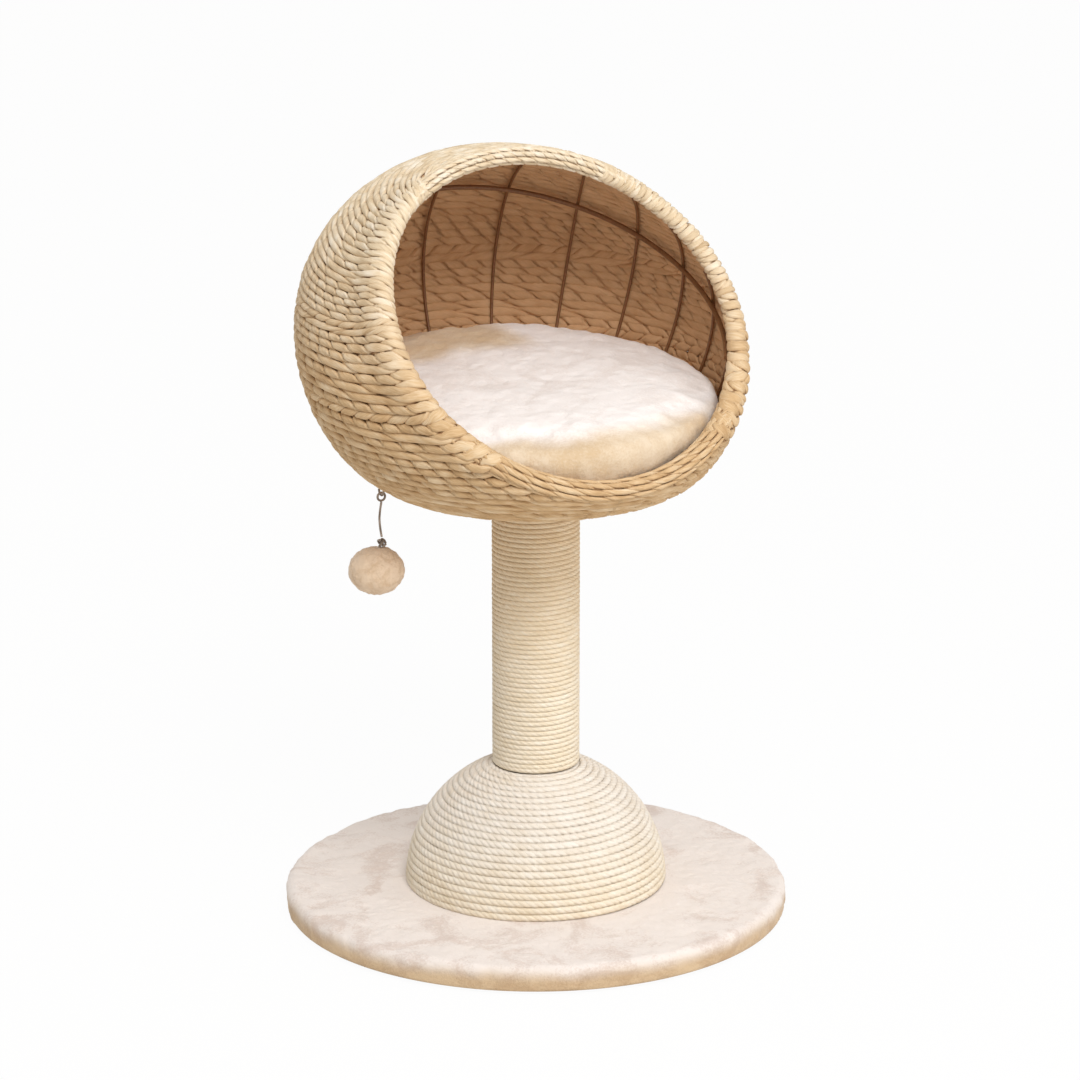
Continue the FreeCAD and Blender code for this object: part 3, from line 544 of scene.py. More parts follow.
def layRow(line, gap, store):
    outward = basketNormal(line)
    line = line - outward * basket["middle"]
    kept = towardsMouth(line) <= basket["rowEnd"]
    deep = np.full(len(line), basket["deep"])
    closed = bool(kept.all())
    ends = []
    if not closed:
        places = np.flatnonzero(kept)
        if len(places) < basket["leastSpots"]:
            return 0
        span = slice(places[0], places[-1] + 1)
        line, outward, gap, deep = line[span], outward[span], gap[span], deep[span]
        ends = [overHoop(line[::way], outward[::way], gap[::way]) for way in (-1, 1)]
    turned = bool(ends) and all(end is not None for end in ends)
    near = smoothStep(towardsMouth(line), basket["liftFrom"], basket["rowEnd"])
    line = line + outward * ((ends[0][3] if turned else basket["lift"]) * near)[:, None]
    if turned:
        deep = deep + (basket["overDeep"] - basket["deep"]) * near
        first, last = ends
        thin = np.full(len(first[0]), basket["overDeep"])
        line, outward, gap = [
            np.concatenate([before[::-1], part, after])
            for before, part, after in zip(first[:3], (line, outward, gap), last[:3])]
        deep = np.concatenate([thin, deep, thin])
    if closed:
        line, outward, gap, deep = [np.concatenate([part, part[:1]]) for part in (line, outward, gap, deep)]
    line, outward, gap, deep = evenly(line, basket["step"], outward, gap, deep)
    if closed:
        line, outward, gap, deep = line[:-1], outward[:-1], gap[:-1], deep[:-1]
    elif not turned:
        fromEnd = np.minimum(np.arange(len(line)), np.arange(len(line))[::-1]) * basket["step"]
        thinner = 1 - smoothStep(fromEnd, 0, basket["taper"])
        line = line - outward * (basket["dive"] * thinner)[:, None]
        left = 1 - (1 - basket["taperTo"]) * thinner
        gap, deep = gap * left, deep * left
    seed = int(ropeDraw.integers(1, 9999))
    across = np.cross(unit(np.gradient(line, axis=0)), outward)
    line = line + across * lumpsOf(line, (*basket["sideNoise"], seed))[:, None]
    line = line + outward * (lumpsOf(line, (*basket["outNoise"], seed + 1)) - basket["sink"])[:, None]
    wide = gap * 0.5 * basket["fullness"] * (1 + lumpsOf(line, (*basket["widthNoise"], seed + 2)))
    hand = 1 if ropeDraw.uniform() < basket["sameHand"] else -1
    lays = basket["smoothLays"] if ropeDraw.uniform() < basket["smoothShare"] else basket["lays"]
    rope = dict(basket["rope"], hand=hand, lay=ropeDraw.uniform(*lays))
    phase = ropeDraw.uniform(*ropeLay["phases"])
    store.lay(line, unit(outward), deep, wide, rope, phase, ropeDraw.uniform(), closed)
    return 1


# level rows up to where the fan starts
loops = []
levels = np.linspace(basket["foot"] + 1e-5, basket["fanLevel"], 4000)
climb = np.concatenate([[0], np.cumsum(np.hypot(np.diff(levels), np.diff(basketRadius(levels))))])
rowCount = int(round(climb[-1] / basket["pitch"]))
for level in np.interp((np.arange(rowCount) + 0.5) * climb[-1] / rowCount, climb, levels):
    loops.append(basketLoop(np.array([0, leanAt(level), level]), 0.0))

# fanned rows: each passes a place on the hoop and one on the hood's ridge, a rope from the row before
fanHeight = (basket["fanLevel"] - basket["belly"]) / basket["hoodHeight"]
hoodTurns = np.linspace(math.asin(fanHeight), math.pi / 2, 1500)
hoodLevels = basket["belly"] + basket["hoodHeight"] * np.sin(hoodTurns)
hoodBack, hoodFront = [
    np.stack([0 * hoodLevels, leanAt(hoodLevels) + way * basketRadius(hoodLevels), hoodLevels], axis=1)
    for way in (1, -1)]
ridge = np.concatenate([hoodBack, hoodFront[::-1]])
ridge = ridge[:int(np.argmax(towardsMouth(ridge) > basket["ridgeEnd"]))]
fanClimb = lengthAlong(ridge)
fanCount = int(round(fanClimb[-1] / basket["fanPitch"]))
fanStart = math.degrees(math.acos((basket["fanLevel"] - hoopCentre[2]) / (hoopRadius * uphill[2])))
for share in (np.arange(fanCount) + 0.5) / fanCount:
    onRidge = np.array([np.interp(share * fanClimb[-1], fanClimb, column) for column in ridge.T])
    onRim = math.radians(fanStart + (basket["fanEnd"] - fanStart) * share)
    onHoop = hoopCentre + uphill * hoopRadius * math.cos(onRim)
    rise = math.atan2(onRidge[2] - onHoop[2], onRidge[1] - onHoop[1])
    loops.append(basketLoop((onRidge + onHoop) / 2, rise))


def apart(line, other):
    return np.min(np.linalg.norm(line[:, None, :] - other[None, ::2, :], axis=2), axis=1)


weave = RopeStore()
rows = 0
narrowest, widest = [share * basket["pitch"] for share in basket["gapLimits"]]
for place, line in enumerate(loops):
    beside = [apart(line, loops[other]) for other in (place - 1, place + 1) if 0 <= other < len(loops)]
    rows += layRow(line, np.clip(np.mean(beside, axis=0), narrowest, widest), weave)

# flat coil of the floor, from the bolt out to the bowl
coil = {
    "inner": 0.012, "outer": 0.113, "level": 0.436, "pitch": 0.0112, "spots": 220, "lay": 0.050,
    "wide": 0.56, "phase": 0.4, "tint": 0.3,
}
coilTurns = (coil["outer"] - coil["inner"]) / coil["pitch"]
turn = np.linspace(0, 2 * math.pi * coilTurns, int(coil["spots"] * coilTurns))
radius = coil["inner"] + coil["pitch"] * turn / (2 * math.pi)
line = np.stack([radius * np.cos(turn), radius * np.sin(turn), np.full(len(turn), coil["level"])], axis=1)
line, = evenly(line, basket["step"])
down = np.tile([0, 0, -1.0], (len(line), 1))
deep = np.full(len(line), basket["deep"])
wide = np.full(len(line), coil["pitch"] * coil["wide"])
weave.lay(line, down, deep, wide, dict(basket["rope"], lay=coil["lay"]), coil["phase"], coil["tint"])
settle(weave.build("woven_rope_wall", paperRope), "stand", "paper_rope", "basket_weave")
print("basket woven,", rows, "rows,", weave.count, "points")

# Rim: a fine lashing on the mouth's hoop; at the top and along the front, rows run with the hoop over it.
rim = {
    "bead": 0.0100, "beadSpots": 40, "reach": 0.0036, "deep": 0.0026, "wide": 0.0070, "step": 0.0022,
    "tint": 0.55, "wander": (0.5, 0.03, 3), "lumps": (0.10, 0.012, 21),
    "rope": {"plies": 2, "sides": 8, "lay": 0.060, "offset": 0.30, "thick": 0.70, "broad": 0.92,
             "oneFace": True},
    "runs": [  # middle and half length along the hoop, first and last place round it, all in degrees
        {"middle": 0, "half": 45, "first": -25, "last": 160, "count": 5, "reach": 0.0064,
         "lays": (0.022, 0.032)},
        {"middle": 180, "half": 60, "first": -55, "last": 165, "count": 6, "reach": 0.0076,
         "lays": (0.036, 0.056)},
    ],
    "runDeep": 0.0032, "runFull": 1.12, "runEnd": 12, "runSpread": 5, "runSpots": 300, "tuck": 0.35,
    "runLumps": (0.08, 0.02, 23),
}
lashing = RopeStore()
rimDraw = np.random.default_rng(17)


def hoopFrame(around):
    spoke = np.sin(around)[:, None] * np.array([1.0, 0, 0]) + np.cos(around)[:, None] * uphill
    spot = hoopCentre + hoopRadius * spoke
    return spot, *hoopSides(spoke, basketNormal(spot))[1:]


beadCount = 2 * math.pi * hoopRadius / rim["bead"]
around = np.linspace(-math.pi, math.pi, int(beadCount * rim["beadSpots"]))
wander = lumpsOf(np.stack([around * hoopRadius, 0 * around, 0 * around], 1), rim["wander"])
wrap = beadCount * (around + math.pi) + wander
spot, out, over = hoopFrame(around)
outward = np.cos(wrap)[:, None] * out + np.sin(wrap)[:, None] * over
line, outward = evenly(spot + rim["reach"] * outward, rim["step"], outward)
lumps = 1 + lumpsOf(line, rim["lumps"])
lashing.lay(line, unit(outward), rim["deep"] * lumps, rim["wide"] * lumps, rim["rope"], 0.0, rim["tint"])
for run in rim["runs"]:
    spacing = math.radians(run["last"] - run["first"]) / (run["count"] - 1) * run["reach"]
    for place in np.radians(np.linspace(run["first"], run["last"], run["count"])):
        half = run["half"] + rimDraw.uniform(-rim["runSpread"], rim["runSpread"])
        aside = np.linspace(-half, half, rim["runSpots"])
        spot, out, over = hoopFrame(np.radians(run["middle"] + aside))
        tucked = smoothStep(half - np.abs(aside), 0, rim["runEnd"])  # each end dives under its neighbours
        outward = math.cos(place) * out + math.sin(place) * over
        line = spot + outward * (run["reach"] * (rim["tuck"] + (1 - rim["tuck"]) * tucked))[:, None]
        line, outward = evenly(line, basket["step"], outward)
        deep = np.full(len(line), rim["runDeep"])
        wide = spacing / 2 * rim["runFull"] * (1 + lumpsOf(line, rim["runLumps"]))
        rope = dict(basket["rope"], lay=rimDraw.uniform(*run["lays"]), spread=0, oneFace=True)
        phase = rimDraw.uniform(*ropeLay["phases"])
        lashing.lay(line, unit(outward), deep, wide, rope, phase, rimDraw.uniform())
settle(lashing.build("rope_turned_rim", paperRope), "stand", "paper_rope", "mouth_binding")
print("rim turned,", lashing.count, "points")

# Dome: one sisal rope wound from the deck to the post.
domeWinding = {
    "centre": 0.028, "radius": 0.1306, "rope": 0.0058, "pitch": 0.0070, "low": 0.0284, "high": 0.1497,
    "step": 0.0021, "spots": 300, "start": 0.8, "wander": (0.0022, 0.35, 5), "lumps": (0.05, 0.02, 12),
    "overlap": 1.20, "tint": 0.2,
    "laid": {"plies": 3, "sides": 6, "lay": 0.022, "offset": 0.36, "thick": 0.64, "broad": 0.74},
}
fullTurn = 6.2832  # radians


# places for noise along a winding, near each other where turns lie side by side
def turnSpots(turned):
    return np.stack([np.cos(turned * fullTurn), np.sin(turned * fullTurn), turned], 1)


half = domeWinding["rope"] / 2
ropeSphere = domeWinding["radius"] - half
lowAngle = math.asin((domeWinding["low"] + half - domeWinding["centre"]) / ropeSphere)
highAngle = math.asin((domeWinding["high"] - half - domeWinding["centre"]) / ropeSphere)
domeTurns = (highAngle - lowAngle) * ropeSphere / domeWinding["pitch"] + 1
# the last turn lies flat under the post
turned = np.linspace(0, domeTurns + 1, int(domeWinding["spots"] * (domeTurns + 1)))
angle = lowAngle + (highAngle - lowAngle) * np.maximum((turned - 0.5) / (domeTurns - 1), 0)
angle = angle + lumpsOf(turnSpots(turned), domeWinding["wander"])
swing = 2 * math.pi * turned + domeWinding["start"]
outward = np.stack([np.cos(angle) * np.cos(swing), np.cos(angle) * np.sin(swing), np.sin(angle)], axis=1)
line = outward * ropeSphere + np.array([0, 0, domeWinding["centre"]])
line[:, 2] = np.clip(line[:, 2], domeWinding["low"] + half, domeWinding["high"] - half)
line, outward = evenly(line, domeWinding["step"], outward)
domeStore = RopeStore()
bulge = half * (1 + lumpsOf(line, domeWinding["lumps"]))
wide = bulge * domeWinding["overlap"] * domeWinding["pitch"] / domeWinding["rope"]
domeStore.lay(line, unit(outward), bulge, wide, domeWinding["laid"], 0.0, domeWinding["tint"])
settle(domeStore.build("dome_sisal_winding", domeSisal), "stand", "sisal", "dome_rope")
print("dome wound,", domeStore.count, "points")

# Post: finer sisal in close turns over the card sleeve.
postWinding = {
    "radius": 0.0436, "rope": 0.0050, "low": 0.1508, "high": 0.4294, "step": 0.0020, "spots": 160,
    "start": 2.2, "closeness": 0.985, "wander": (0.00022, 0.4, 8), "lumps": (0.06, 0.015, 14),
    "overlap": 1.22, "tint": 0.7,
    "laid": {"plies": 3, "sides": 6, "lay": 0.019, "offset": 0.36, "thick": 0.64, "broad": 0.74},
}
half = postWinding["rope"] / 2
ropeRadius = postWinding["radius"] - half
postClimb = postWinding["high"] - postWinding["low"] - 2 * half
postTurns = postClimb / (postWinding["rope"] * postWinding["closeness"]) + 1
turned = np.linspace(0, postTurns, int(postWinding["spots"] * postTurns))
level = postWinding["low"] + half + postClimb * np.clip((turned - 0.5) / (postTurns - 1), 0, 1)
level = level + lumpsOf(turnSpots(turned), postWinding["wander"])
swing = 2 * math.pi * turned + postWinding["start"]
outward = np.stack([np.cos(swing), np.sin(swing), 0 * turned], axis=1)
line = outward * ropeRadius
line[:, 2] = np.clip(level, postWinding["low"] + half, postWinding["high"] - half)
line, outward = evenly(line, postWinding["step"], outward)
postStore = RopeStore()
bulge = half * (1 + lumpsOf(line, postWinding["lumps"]))
wide = bulge * postWinding["overlap"]
postStore.lay(line, unit(outward), bulge, wide, postWinding["laid"], 0.0, postWinding["tint"])
settle(postStore.build("post_sisal_winding", postSisal), "stand", "sisal", "post_rope")
print("post wound,", postStore.count, "points")


# rings of a profile turned about the upright axis; shape then moves the points
def turnedPiece(name, profile, around, material, shape=None, closed=True):
    turn = np.linspace(0, 2 * math.pi, around, endpoint=False)
    points = np.stack([
        profile[:, 0][:, None] * np.cos(turn)[None, :], profile[:, 0][:, None] * np.sin(turn)[None, :],
        np.repeat(profile[:, 1][:, None], around, axis=1)], axis=2).reshape(-1, 3)
    if shape is not None:
        points = shape(points)
    piece = meshPiece(name, points, ringQuads(len(profile), around, closed), material)
    if not closed:  # the ends on the axis are drawn together to one point
        shaper = bmesh.new()
        shaper.from_mesh(piece.data)
        bmesh.ops.remove_doubles(shaper, verts=shaper.verts, dist=1e-6)
        bmesh.ops.recalc_face_normals(shaper, faces=shaper.faces)
        shaper.to_mesh(piece.data)
        shaper.free()
    return piece


def arcSpots(centre, radius, first, last, count):
    turn = np.radians(np.linspace(first, last, count))
    return np.stack([centre[0] + radius * np.cos(turn), centre[1] + radius * np.sin(turn)], axis=1)


def runSpots(start, end, count):
    return np.linspace(start, end, count, endpoint=False)


# Base cover: plush pulled over the board's top and edge, hem turned under.
baseCover = {
    "outer": 0.2500, "top": 0.0280, "bottom": 0.0030, "hemInner": 0.2240, "boardTop": 0.0220,
    "boardBottom": 0.0060, "boardRadius": 0.2438, "start": 0.060, "plainTo": 0.118, "topRound": 0.0085,
    "lowRound": 0.004, "joint": 0.002, "clear": 0.0001, "around": 640,
    # pile: it shows on the top and the edge, and lies flatter towards the dome
    "lumps": [(0.0010, 0.030, 31), (0.0007, 0.011, 32), (0.0005, 0.0048, 33)],
    "topSkin": 0.001, "edgeSkin": 0.003, "hemSkin": 0.0015,
    "pileFrom": 0.128, "pileRun": 0.02, "pileLeast": 0.15,
    "sideShadeLevels": (0.0105, 0.0275), "paleNoise": (0.0025, 0.022, 35),
}
topRound, lowRound = baseCover["topRound"], baseCover["lowRound"]
edge, top, bottom = baseCover["outer"], baseCover["top"], baseCover["bottom"]
backingTop = baseCover["boardTop"] + baseCover["clear"]
backingBottom = baseCover["boardBottom"] - baseCover["clear"]
profile = np.concatenate([
    runSpots((baseCover["start"], top), (baseCover["plainTo"], top), 6),
    runSpots((baseCover["plainTo"], top), (edge - topRound, top), 52),
    arcSpots((edge - topRound, top - topRound), topRound, 90, 0, 8),
    runSpots((edge, top - topRound - baseCover["joint"]), (edge, bottom + lowRound), 5),
    arcSpots((edge - lowRound, bottom + lowRound), lowRound, 0, -90, 5),
    runSpots((edge - lowRound - baseCover["joint"], bottom), (baseCover["hemInner"], bottom), 8),
    np.array([(baseCover["hemInner"], bottom), (baseCover["hemInner"], backingBottom),
              (baseCover["boardRadius"], backingBottom), (baseCover["boardRadius"], backingTop),
              (baseCover["start"], backingTop)]),
])


def pileOnBase(points):
    reach = np.hypot(points[:, 0], points[:, 1])
    out = np.stack([points[:, 0] / reach, points[:, 1] / reach, 0 * reach], axis=1)
    turnOut = np.clip((reach - edge + topRound) / topRound, 0, 1) * math.pi / 2
    aim = unit(out * np.sin(turnOut)[:, None] + np.array([0, 0, 1.0]) * np.cos(turnOut)[:, None])
    onTop = points[:, 2] > baseCover["boardTop"] + baseCover["topSkin"]
    onEdge = reach > edge - baseCover["edgeSkin"]
    underneath = points[:, 2] < bottom + baseCover["hemSkin"]
    lumps = np.where((onTop | onEdge) & ~underneath, lumpsOf(points, *baseCover["lumps"]), 0)
    near = np.clip((reach - baseCover["pileFrom"]) / baseCover["pileRun"], baseCover["pileLeast"], 1)
    return points + aim * (lumps * near)[:, None]


coverPiece = turnedPiece("plush_base_cover", profile, baseCover["around"], basePlush, pileOnBase)
coverPoints = pointsOf(coverPiece.data)
# painted shade: the cover turns to its beige edge tones down its side
coverLevel = coverPoints[:, 2] + lumpsOf(coverPoints, baseCover["paleNoise"])
giveField(coverPiece.data, "pale", smoothStep(coverLevel, *baseCover["sideShadeLevels"]))
settle(coverPiece, "stand", "base_plush", "base_cover")
print("base covered")

# Cushion: a full round pad blown up by the cloth solver, then given its pile.
cushion = {
    "foot": 0.4549, "low": 0.4425, "waist": 0.5165, "shoulder": 0.5305, "top": 0.5365, "toe": 0.122,
    "full": 0.1965, "sideCurve": 0.9, "browDraw": 0.95, "browEnd": 82, "crownDraw": 0.985, "crownCurve": 2.2,
    "around": 160,
    # how it lies; each noise is its height, its grain and its seed
    "middle": 0.0258, "tilt": 6.0, "roll": 1.5, "raise": 0.0022, "ribRoom": 0.0168, "leastSlope": 0.3,
    "dent": 0.004, "dentFront": 0.02, "dentWidth": 0.075, "crownBand": 0.004,
    "crownNoise": (0.0022, 0.085, 51),
    # how it is blown up and filled
    "voxel": 0.0055, "pressure": 4.0, "frames": 20, "cap": 0.006, "fill": 0.75,
    # its pile, and where the pale top ends and the painted shade takes over
    "lumps": [(0.0009, 0.026, 52), (0.0008, 0.011, 53), (0.0006, 0.0052, 54)], "footBand": 0.004,
    "paintedShadeEdge": (0.152, 0.178), "edgeNoise": (0.010, 0.03, 55), "frontFade": (22, 55), "frontDraw": 0.030,
    "rear": (0.056, 0.090), "rearNoise": (0.016, 0.035, 56), "rearSide": (0.015, 0.055),
    "sideNoise": (0.020, 0.04, 57),
}


def capMoves(start, moved, cap):
    move = moved - start
    length = np.linalg.norm(move, axis=1, keepdims=True)
    return start + move * np.minimum(1, cap / np.maximum(length, 1e-9))


# puts a piece's modifiers into its mesh
def applyAll(piece):
    shown = bpy.data.meshes.new_from_object(piece.evaluated_get(bpy.context.evaluated_depsgraph_get()))
    piece.modifiers.clear()
    piece.data = shown
    shown.shade_smooth()


full, toe, low = cushion["full"], cushion["toe"], cushion["low"]
padRise, padCrown = cushion["waist"] - low, cushion["top"] - cushion["shoulder"]
brow = full - (cushion["shoulder"] - cushion["waist"]) * cushion["browDraw"]
padProfile = np.concatenate([
    runSpots((0, low), (toe, low), 12),
    np.array([(toe + (full - toe) * math.sin(share * math.pi / 2) ** cushion["sideCurve"],
               low + padRise * (1 - math.cos(share * math.pi / 2)))
              for share in np.linspace(0.02, 0.99, 14)]),
    arcSpots((brow, cushion["waist"]), full - brow, 0, cushion["browEnd"], 9),
    np.array([(brow * share * cushion["crownDraw"],
               cushion["shoulder"] + padCrown * (1 - share ** cushion["crownCurve"]))
              for share in np.linspace(0.97, 0, 18)]),
])


# the pad lies a little lower in its middle, higher at the back, and flat on the board
def setInBasket(points):
    fromDent = points[:, 0] ** 2 + (points[:, 1] + cushion["dentFront"]) ** 2
    dent = cushion["dent"] * np.exp(-fromDent / cushion["dentWidth"] ** 2)
    lifted = points[:, 2] > cushion["shoulder"] - cushion["crownBand"]
    uneven = np.where(lifted, lumpsOf(points, cushion["crownNoise"]) - dent, 0)
    raised = points[:, 2] + uneven - cushion["waist"]
    slope = math.radians(cushion["tilt"])
    back = points[:, 1] * math.cos(slope) - raised * math.sin(slope)
    level = points[:, 1] * math.sin(slope) + raised * math.cos(slope) + cushion["waist"]
    level = level + cushion["raise"] + points[:, 0] * math.sin(math.radians(cushion["roll"]))
    return np.stack([points[:, 0], back + cushion["middle"], np.maximum(level, cushion["foot"])], axis=1)


# the pad's sides give way where the ribs inside the basket would press into them
def insideRibs(points):
    level = points[:, 2]
    back = points[:, 1] - leanAt(level)
    reach = np.maximum(np.hypot(points[:, 0], back), 1e-6)
    wall = basketRadius(level)
    onWall = np.stack([points[:, 0] * wall / reach, leanAt(level) + back * wall / reach, level], axis=1)
    normal = basketNormal(onWall)
    steep = np.maximum(np.hypot(normal[:, 0], normal[:, 1]), cushion["leastSlope"])
    room = wall - cushion["ribRoom"] / steep
    share = np.where(reach > cushion["toe"], np.minimum(1, room / reach), 1)
    return np.stack([points[:, 0] * share, leanAt(level) + back * share, level], axis=1)


padPiece = turnedPiece(
    "plush_cushion", padProfile, cushion["around"], cushionPlush, setInBasket, closed=False)
voxels = padPiece.modifiers.new("voxels", "REMESH")
voxels.mode = "VOXEL"
voxels.voxel_size = cushion["voxel"]
applyAll(padPiece)
padStart = pointsOf(padPiece.data)
cloth = padPiece.modifiers.new("cloth", "CLOTH")
cloth.settings.use_pressure = True
cloth.settings.uniform_pressure_force = cushion["pressure"]
cloth.settings.effector_weights.gravity = 0
cloth.point_cache.frame_start = 1
cloth.point_cache.frame_end = cushion["frames"]
for step in range(1, cushion["frames"] + 1):
    scene.frame_set(step)
blown = padPiece.evaluated_get(bpy.context.evaluated_depsgraph_get()).data
padMoved = capMoves(padStart, pointsOf(blown), cushion["cap"])
padMoved[:, 2] = np.maximum(padMoved[:, 2], cushion["foot"])
padPiece.modifiers.clear()
padPiece.data.vertices.foreach_set("co", padMoved.astype(np.float32).ravel())
padPiece.data.update()
scene.frame_set(1)
smoother = padPiece.modifiers.new("smoother", "SUBSURF")
smoother.levels = smoother.render_levels = 1
applyAll(padPiece)
padPoints, padNormals = pointsOf(padPiece.data), normalsOf(padPiece.data)
padPile = padPoints[:, 2] > cushion["foot"] + cushion["footBand"]
padLumps = np.where(padPile, lumpsOf(padPoints, *cushion["lumps"]), 0)
padPoints = insideRibs(padPoints + padNormals * padLumps[:, None])
padPiece.data.vertices.foreach_set("co", padPoints.astype(np.float32).ravel())
padPiece.data.update()
padPiece.data.materials.clear()
padPiece.data.materials.append(cushionPlush)
slope = math.radians(cushion["tilt"])
padBack = (padPoints[:, 1] - cushion["middle"]) * math.cos(slope)
padBack = padBack + (padPoints[:, 2] - cushion["waist"]) * math.sin(slope)
padReach = np.hypot(padPoints[:, 0], padBack)
padRearShade = smoothStep(padBack + lumpsOf(padPoints, cushion["rearNoise"]), *cushion["rear"])
padSide = smoothStep(padPoints[:, 0] + lumpsOf(padPoints, cushion["sideNoise"]), *cushion["rearSide"])
padAway = np.degrees(np.arccos(np.clip(-padBack / np.maximum(padReach, 1e-6), -1, 1)))
padEdge = padReach + lumpsOf(padPoints, cushion["edgeNoise"])
padEdge = padEdge - cushion["frontDraw"] * smoothStep(padAway, *cushion["frontFade"])
# painted shade: beige only along the front side and at the rear left, where the hood shades the pad
padUnshaded = (1 - smoothStep(padEdge, *cushion["paintedShadeEdge"])) * (1 - padRearShade * (1 - padSide))
giveField(padPiece.data, "pale", padUnshaded)
settle(padPiece, "cushion", "cushion_plush", "cushion_cover", "cushion_filling")
padAcross = (np.ptp(padPoints, axis=0) * 1000).round(1)
padTop = padPoints[:, 2].max().round(4)
print("cushion blown up,", len(padPoints), "points,", *padAcross, "mm, top at", padTop)

# Toy ball: a stuffed plush ball, a little flat, hanging from its knot.
toyBall = {
    "subdivisions": 5, "shrink": 0.0006, "fill": 0.9, "paleNoise": (0.5, 0.02, 64),
    "lumps": [(0.0007, 0.016, 61), (0.0005, 0.006, 62), (0.0008, 0.0028, 63)],
}
ballLow, ballHigh = [np.array(corner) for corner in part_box("toy_ball")]
ballMesh = bpy.data.meshes.new("plush_toy_ball")
shaper = bmesh.new()
bmesh.ops.create_icosphere(shaper, subdivisions=toyBall["subdivisions"], radius=1.0)
shaper.to_mesh(ballMesh)
shaper.free()
ballRound = pointsOf(ballMesh)
ballPoints = (ballLow + ballHigh) / 2 + ballRound * ((ballHigh - ballLow) / 2 - toyBall["shrink"])
ballPoints = ballPoints + ballRound * lumpsOf(ballPoints, *toyBall["lumps"])[:, None]
ballMesh.vertices.foreach_set("co", ballPoints.astype(np.float32).ravel())
giveField(ballMesh, "pale", 0.5 + lumpsOf(ballPoints, toyBall["paleNoise"]))
ballMesh.shade_smooth()
ballMesh.materials.append(toyPlush)
ballPiece = bpy.data.objects.new("plush_toy_ball", ballMesh)
scene.collection.objects.link(ballPiece)
settle(ballPiece, "toy", "toy_plush", "toy_ball")

# Knot: the cord's own end, tied over and under itself on the ball.
toyKnot = {
    "across": 0.0024, "through": 0.0014, "height": 0.0029, "strand": 0.0012, "points": 200, "drop": 0.0012,
    "tint": 0.5,
    "rope": {"plies": 2, "sides": 8, "lay": 0.005, "offset": 0.36, "thick": 0.64, "broad": 0.80},
}
knotLow, knotHigh = [np.array(corner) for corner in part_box("toy_knot")]
knotTurn = np.linspace(0, 2 * math.pi, toyKnot["points"], endpoint=False)
knotReach = toyKnot["across"] + toyKnot["through"] * np.cos(3 * knotTurn)
knotLine = np.stack([knotReach * np.cos(2 * knotTurn), knotReach * np.sin(2 * knotTurn),
                     toyKnot["height"] * np.sin(3 * knotTurn) - toyKnot["drop"]], axis=1)
knotStore = RopeStore()
knotMiddle, knotSize = (knotLow + knotHigh) / 2, np.full(len(knotLine), toyKnot["strand"])
knotStore.lay(knotMiddle + knotLine, unit(knotLine + 1e-6), knotSize, knotSize, toyKnot["rope"], 0.0,
              toyKnot["tint"], True)

# Waxed cotton cord: dark, two fine plies that catch a little light.
waxedCord, tree, shader = newMaterial("waxed_cotton_cord", Roughness=0.6, Specular_IOR_Level=0.4)
place = addNode(tree, "TexCoord").outputs["Object"]
tilted = addNode(tree, "Mapping", {"Vector": place, "Rotation": (0.7, 0.5, 0.0)}).outputs["Vector"]
plies = addNode(tree, "TexWave", {
    "Vector": tilted, "Scale": perMetre(1.6) / waveRadians, "Distortion": 0.6},
    bands_direction="Z").outputs["Fac"]
fuzz = addNode(tree, "TexNoise", {"Vector": place, "Scale": perMetre(0.7), "Detail": 3.0}).outputs["Fac"]
blend = addNode(tree, "Math", {0: plies, 1: fuzz}, operation="MULTIPLY").outputs[0]
colour = addNode(tree, "ValToRGB", {"Fac": blend}, stops=[
    (0.0, "#857669"), (0.6, "#B5A699")]).outputs["Color"]
finishSurface(tree, shader, colour, plies, 0.6, 0.0003)
cordCurve.materials.append(waxedCord)
settle(cordPiece, "toy", "toy_cord", "toy_cord")
knotPiece = settle(knotStore.build("cord_end_knot", waxedCord), "toy", "toy_knot", "toy_knot")
print("toy hung")

# Post sleeve: the card under the sisal, seen only between its turns.
sleeve = {"inner": 0.0350, "outer": 0.0392, "low": 0.1512, "high": 0.4290}
sleeveProfile = np.array([(sleeve["inner"], sleeve["low"]), (sleeve["outer"], sleeve["low"]),
                          (sleeve["outer"], sleeve["high"]), (sleeve["inner"], sleeve["high"])])


# A plain finish: a fine speckle of two tones with a matching bump, sized by the grain of the real surface.
def makeFinish(name, dark, light, grain, roughness, relief, metallic=0.0, stretch=(1.0, 1.0, 1.0)):
    material, tree, shader = newMaterial(name, Roughness=roughness, Metallic=metallic)
    place = addNode(tree, "TexCoord").outputs["Object"]
    place = addNode(tree, "Mapping", {"Vector": place, "Scale": stretch}).outputs["Vector"]
    speckle = addNode(tree, "TexNoise", {
        "Vector": place, "Scale": perMetre(grain), "Detail": 4.0, "Roughness": 0.6}).outputs["Fac"]
    ranged = addNode(tree, "MapRange", {"Value": speckle, "From Min": 0.3, "From Max": 0.7}).outputs[0]
    colour = addNode(tree, "ValToRGB", {"Fac": ranged}, stops=[(0.0, dark), (1.0, light)]).outputs["Color"]
    finishSurface(tree, shader, colour, speckle, 0.4, relief)
    return material


# Powder-coated wire: brown, a fine orange-peel skin and a soft shine.
coatedWire = makeFinish("powder_coated_wire", "#734A29", "#8C603A", 2.5, 0.45, 0.00012)
# Pressed fibreboard: tan, short fibres in all directions, dry.
fibreboard = makeFinish("pressed_fibreboard", "#9A7650", "#BC9A70", 1.6, 0.85, 0.0001)
# Peeled birch plywood: pale, long grain.
plywood = makeFinish("peeled_birch_plywood", "#C8A676", "#E1C79D", 3.0, 0.6, 0.0001, stretch=(0.08, 1.0, 1.0))
# Zinc-plated steel: cool, satin, faint crystal mottling.
zincSteel = makeFinish("zinc_plated_steel", "#A9ACAE", "#C9CBCC", 1.2, 0.32, 0.00003, metallic=1.0)
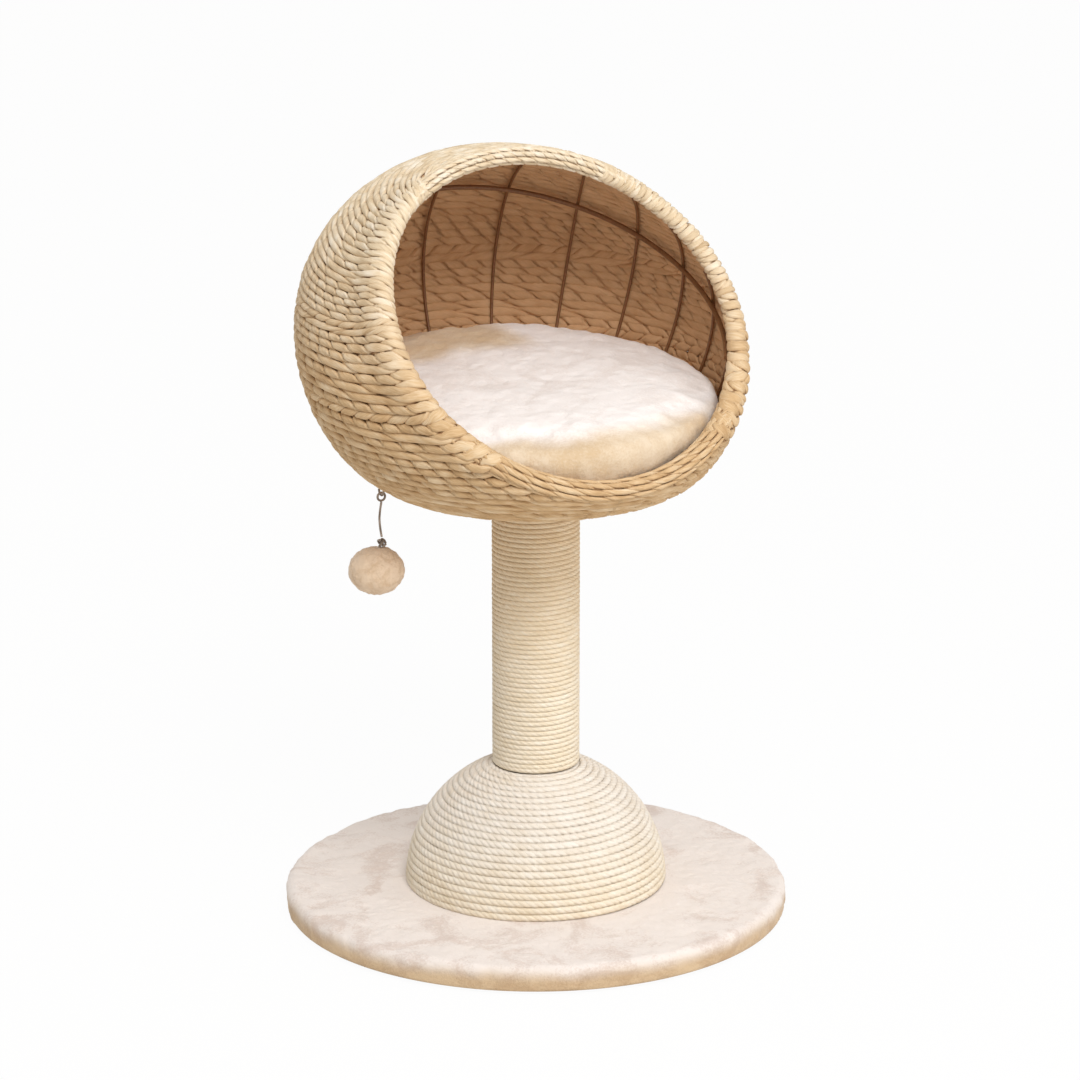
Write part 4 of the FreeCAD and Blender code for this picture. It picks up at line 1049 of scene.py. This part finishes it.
# Closed-cell foam rubber: charcoal, fine pores.
foamRubber = makeFinish("closed_cell_foam_rubber", "#232323", "#353433", 0.9, 0.9, 0.0003)
# Moulded polypropylene: cream, a slight grain from the mould.
polypropylene = makeFinish("moulded_polypropylene", "#D9CDB6", "#E6DCC8", 1.5, 0.5, 0.00006)
# Spiral-wound card: grey-brown, fibrous.
windingCard = makeFinish(
    "spiral_wound_card", "#A88A62", "#C4A67C", 2.0, 0.85, 0.0001, stretch=(1.0, 1.0, 0.3))
nodeFinishes = {
    "base_board": fibreboard, "floor_board": plywood, "post_plug_bottom": plywood, "post_plug_top": plywood,
    "base_staples": zincSteel, "dome_screws": zincSteel, "tee_nut_bottom": zincSteel,
    "tee_nut_top": zincSteel, "base_washer": zincSteel, "base_bolt": zincSteel, "basket_washer": zincSteel,
    "basket_bolt": zincSteel, "foot_pads": foamRubber, "dome_shell": polypropylene,
    "post_tube": windingCard, "mouth_hoop": coatedWire, "floor_ring": coatedWire, "arch_hoop": coatedWire,
    "toy_anchor": waxedCord, "toy_link": waxedCord,
}
for name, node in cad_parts.items():
    finish = coatedWire if name.startswith("rib_") else nodeFinishes.get(name)
    if finish:
        node.data.materials.clear()
        node.data.materials.append(finish)
settle(turnedPiece("post_card_sleeve", sleeveProfile, 96, windingCard), "stand", "paper_tube")
print("carried-over parts finished")

# white studio: soft boxes, and a pale sweep that stays white to the camera but keeps the shadow
studio = {
    "sky": 0.60, "floorWhite": 0.96, "floorSize": 80, "floorLevel": -0.0002, "aim": (0, 0, 0.4),
    "boxes": [("key_softbox", (-0.55, -2.3, 3.1), 76, 1.6), ("fill_softbox", (1.9, -2.6, 1.2), 21, 2.4)],
}


# 1 for rays that show a surface straight, mirrored or through glass, 0 for those that light the object
def seenRays(tree):
    rays = addNode(tree, "LightPath").outputs
    seen = rays["Is Camera Ray"]
    for kind in ("Is Glossy Ray", "Is Transmission Ray"):
        seen = addNode(tree, "Math", {0: seen, 1: rays[kind]}, operation="MAXIMUM").outputs[0]
    return seen


world = bpy.data.worlds.new("white_studio")
scene.world = world
world.use_nodes = True
worldTree = world.node_tree
background = worldTree.nodes["Background"]
seen = seenRays(worldTree)
strength = addNode(worldTree, "MapRange", {"Value": seen, "To Min": studio["sky"], "To Max": 1.0}).outputs[0]
worldTree.links.new(strength, background.inputs["Strength"])
hue = addNode(worldTree, "Mix", {
    0: seen, 6: linear("#FFFCF8"), 7: (1, 1, 1, 1)}, data_type="RGBA").outputs[2]
worldTree.links.new(hue, background.inputs["Color"])  # warm light on the object, white behind it
for name, place, energy, size in studio["boxes"]:
    lamp = bpy.data.lights.new(name, "AREA")
    lamp.energy = energy
    lamp.shape = "DISK"
    lamp.size = size
    lampObject = bpy.data.objects.new(name, lamp)
    lampObject.location = place
    lampObject.rotation_euler = (Vector(studio["aim"]) - Vector(place)).to_track_quat("-Z", "Y").to_euler()
    scene.collection.objects.link(lampObject)
sweep, tree, shader = newMaterial("white_paper_sweep", Roughness=0.95, Specular_IOR_Level=0.0)
shader.inputs["Base Color"].default_value = linear("#EDEBE8")
seen = seenRays(tree)
share = addNode(tree, "Math", {0: seen, 1: studio["floorWhite"]}, operation="MULTIPLY").outputs[0]
glow = addNode(tree, "Emission", {"Color": (1, 1, 1, 1), "Strength": 1.0}).outputs[0]
mixed = addNode(tree, "MixShader", {0: share, 1: shader.outputs[0], 2: glow}).outputs[0]
tree.links.new(mixed, tree.nodes["Material Output"].inputs["Surface"])
bpy.ops.mesh.primitive_plane_add(size=studio["floorSize"], location=(0, 0, studio["floorLevel"]))
floor = bpy.context.object
floor.name = "paper_floor"
floor.data.materials.append(sweep)
print("studio lit")
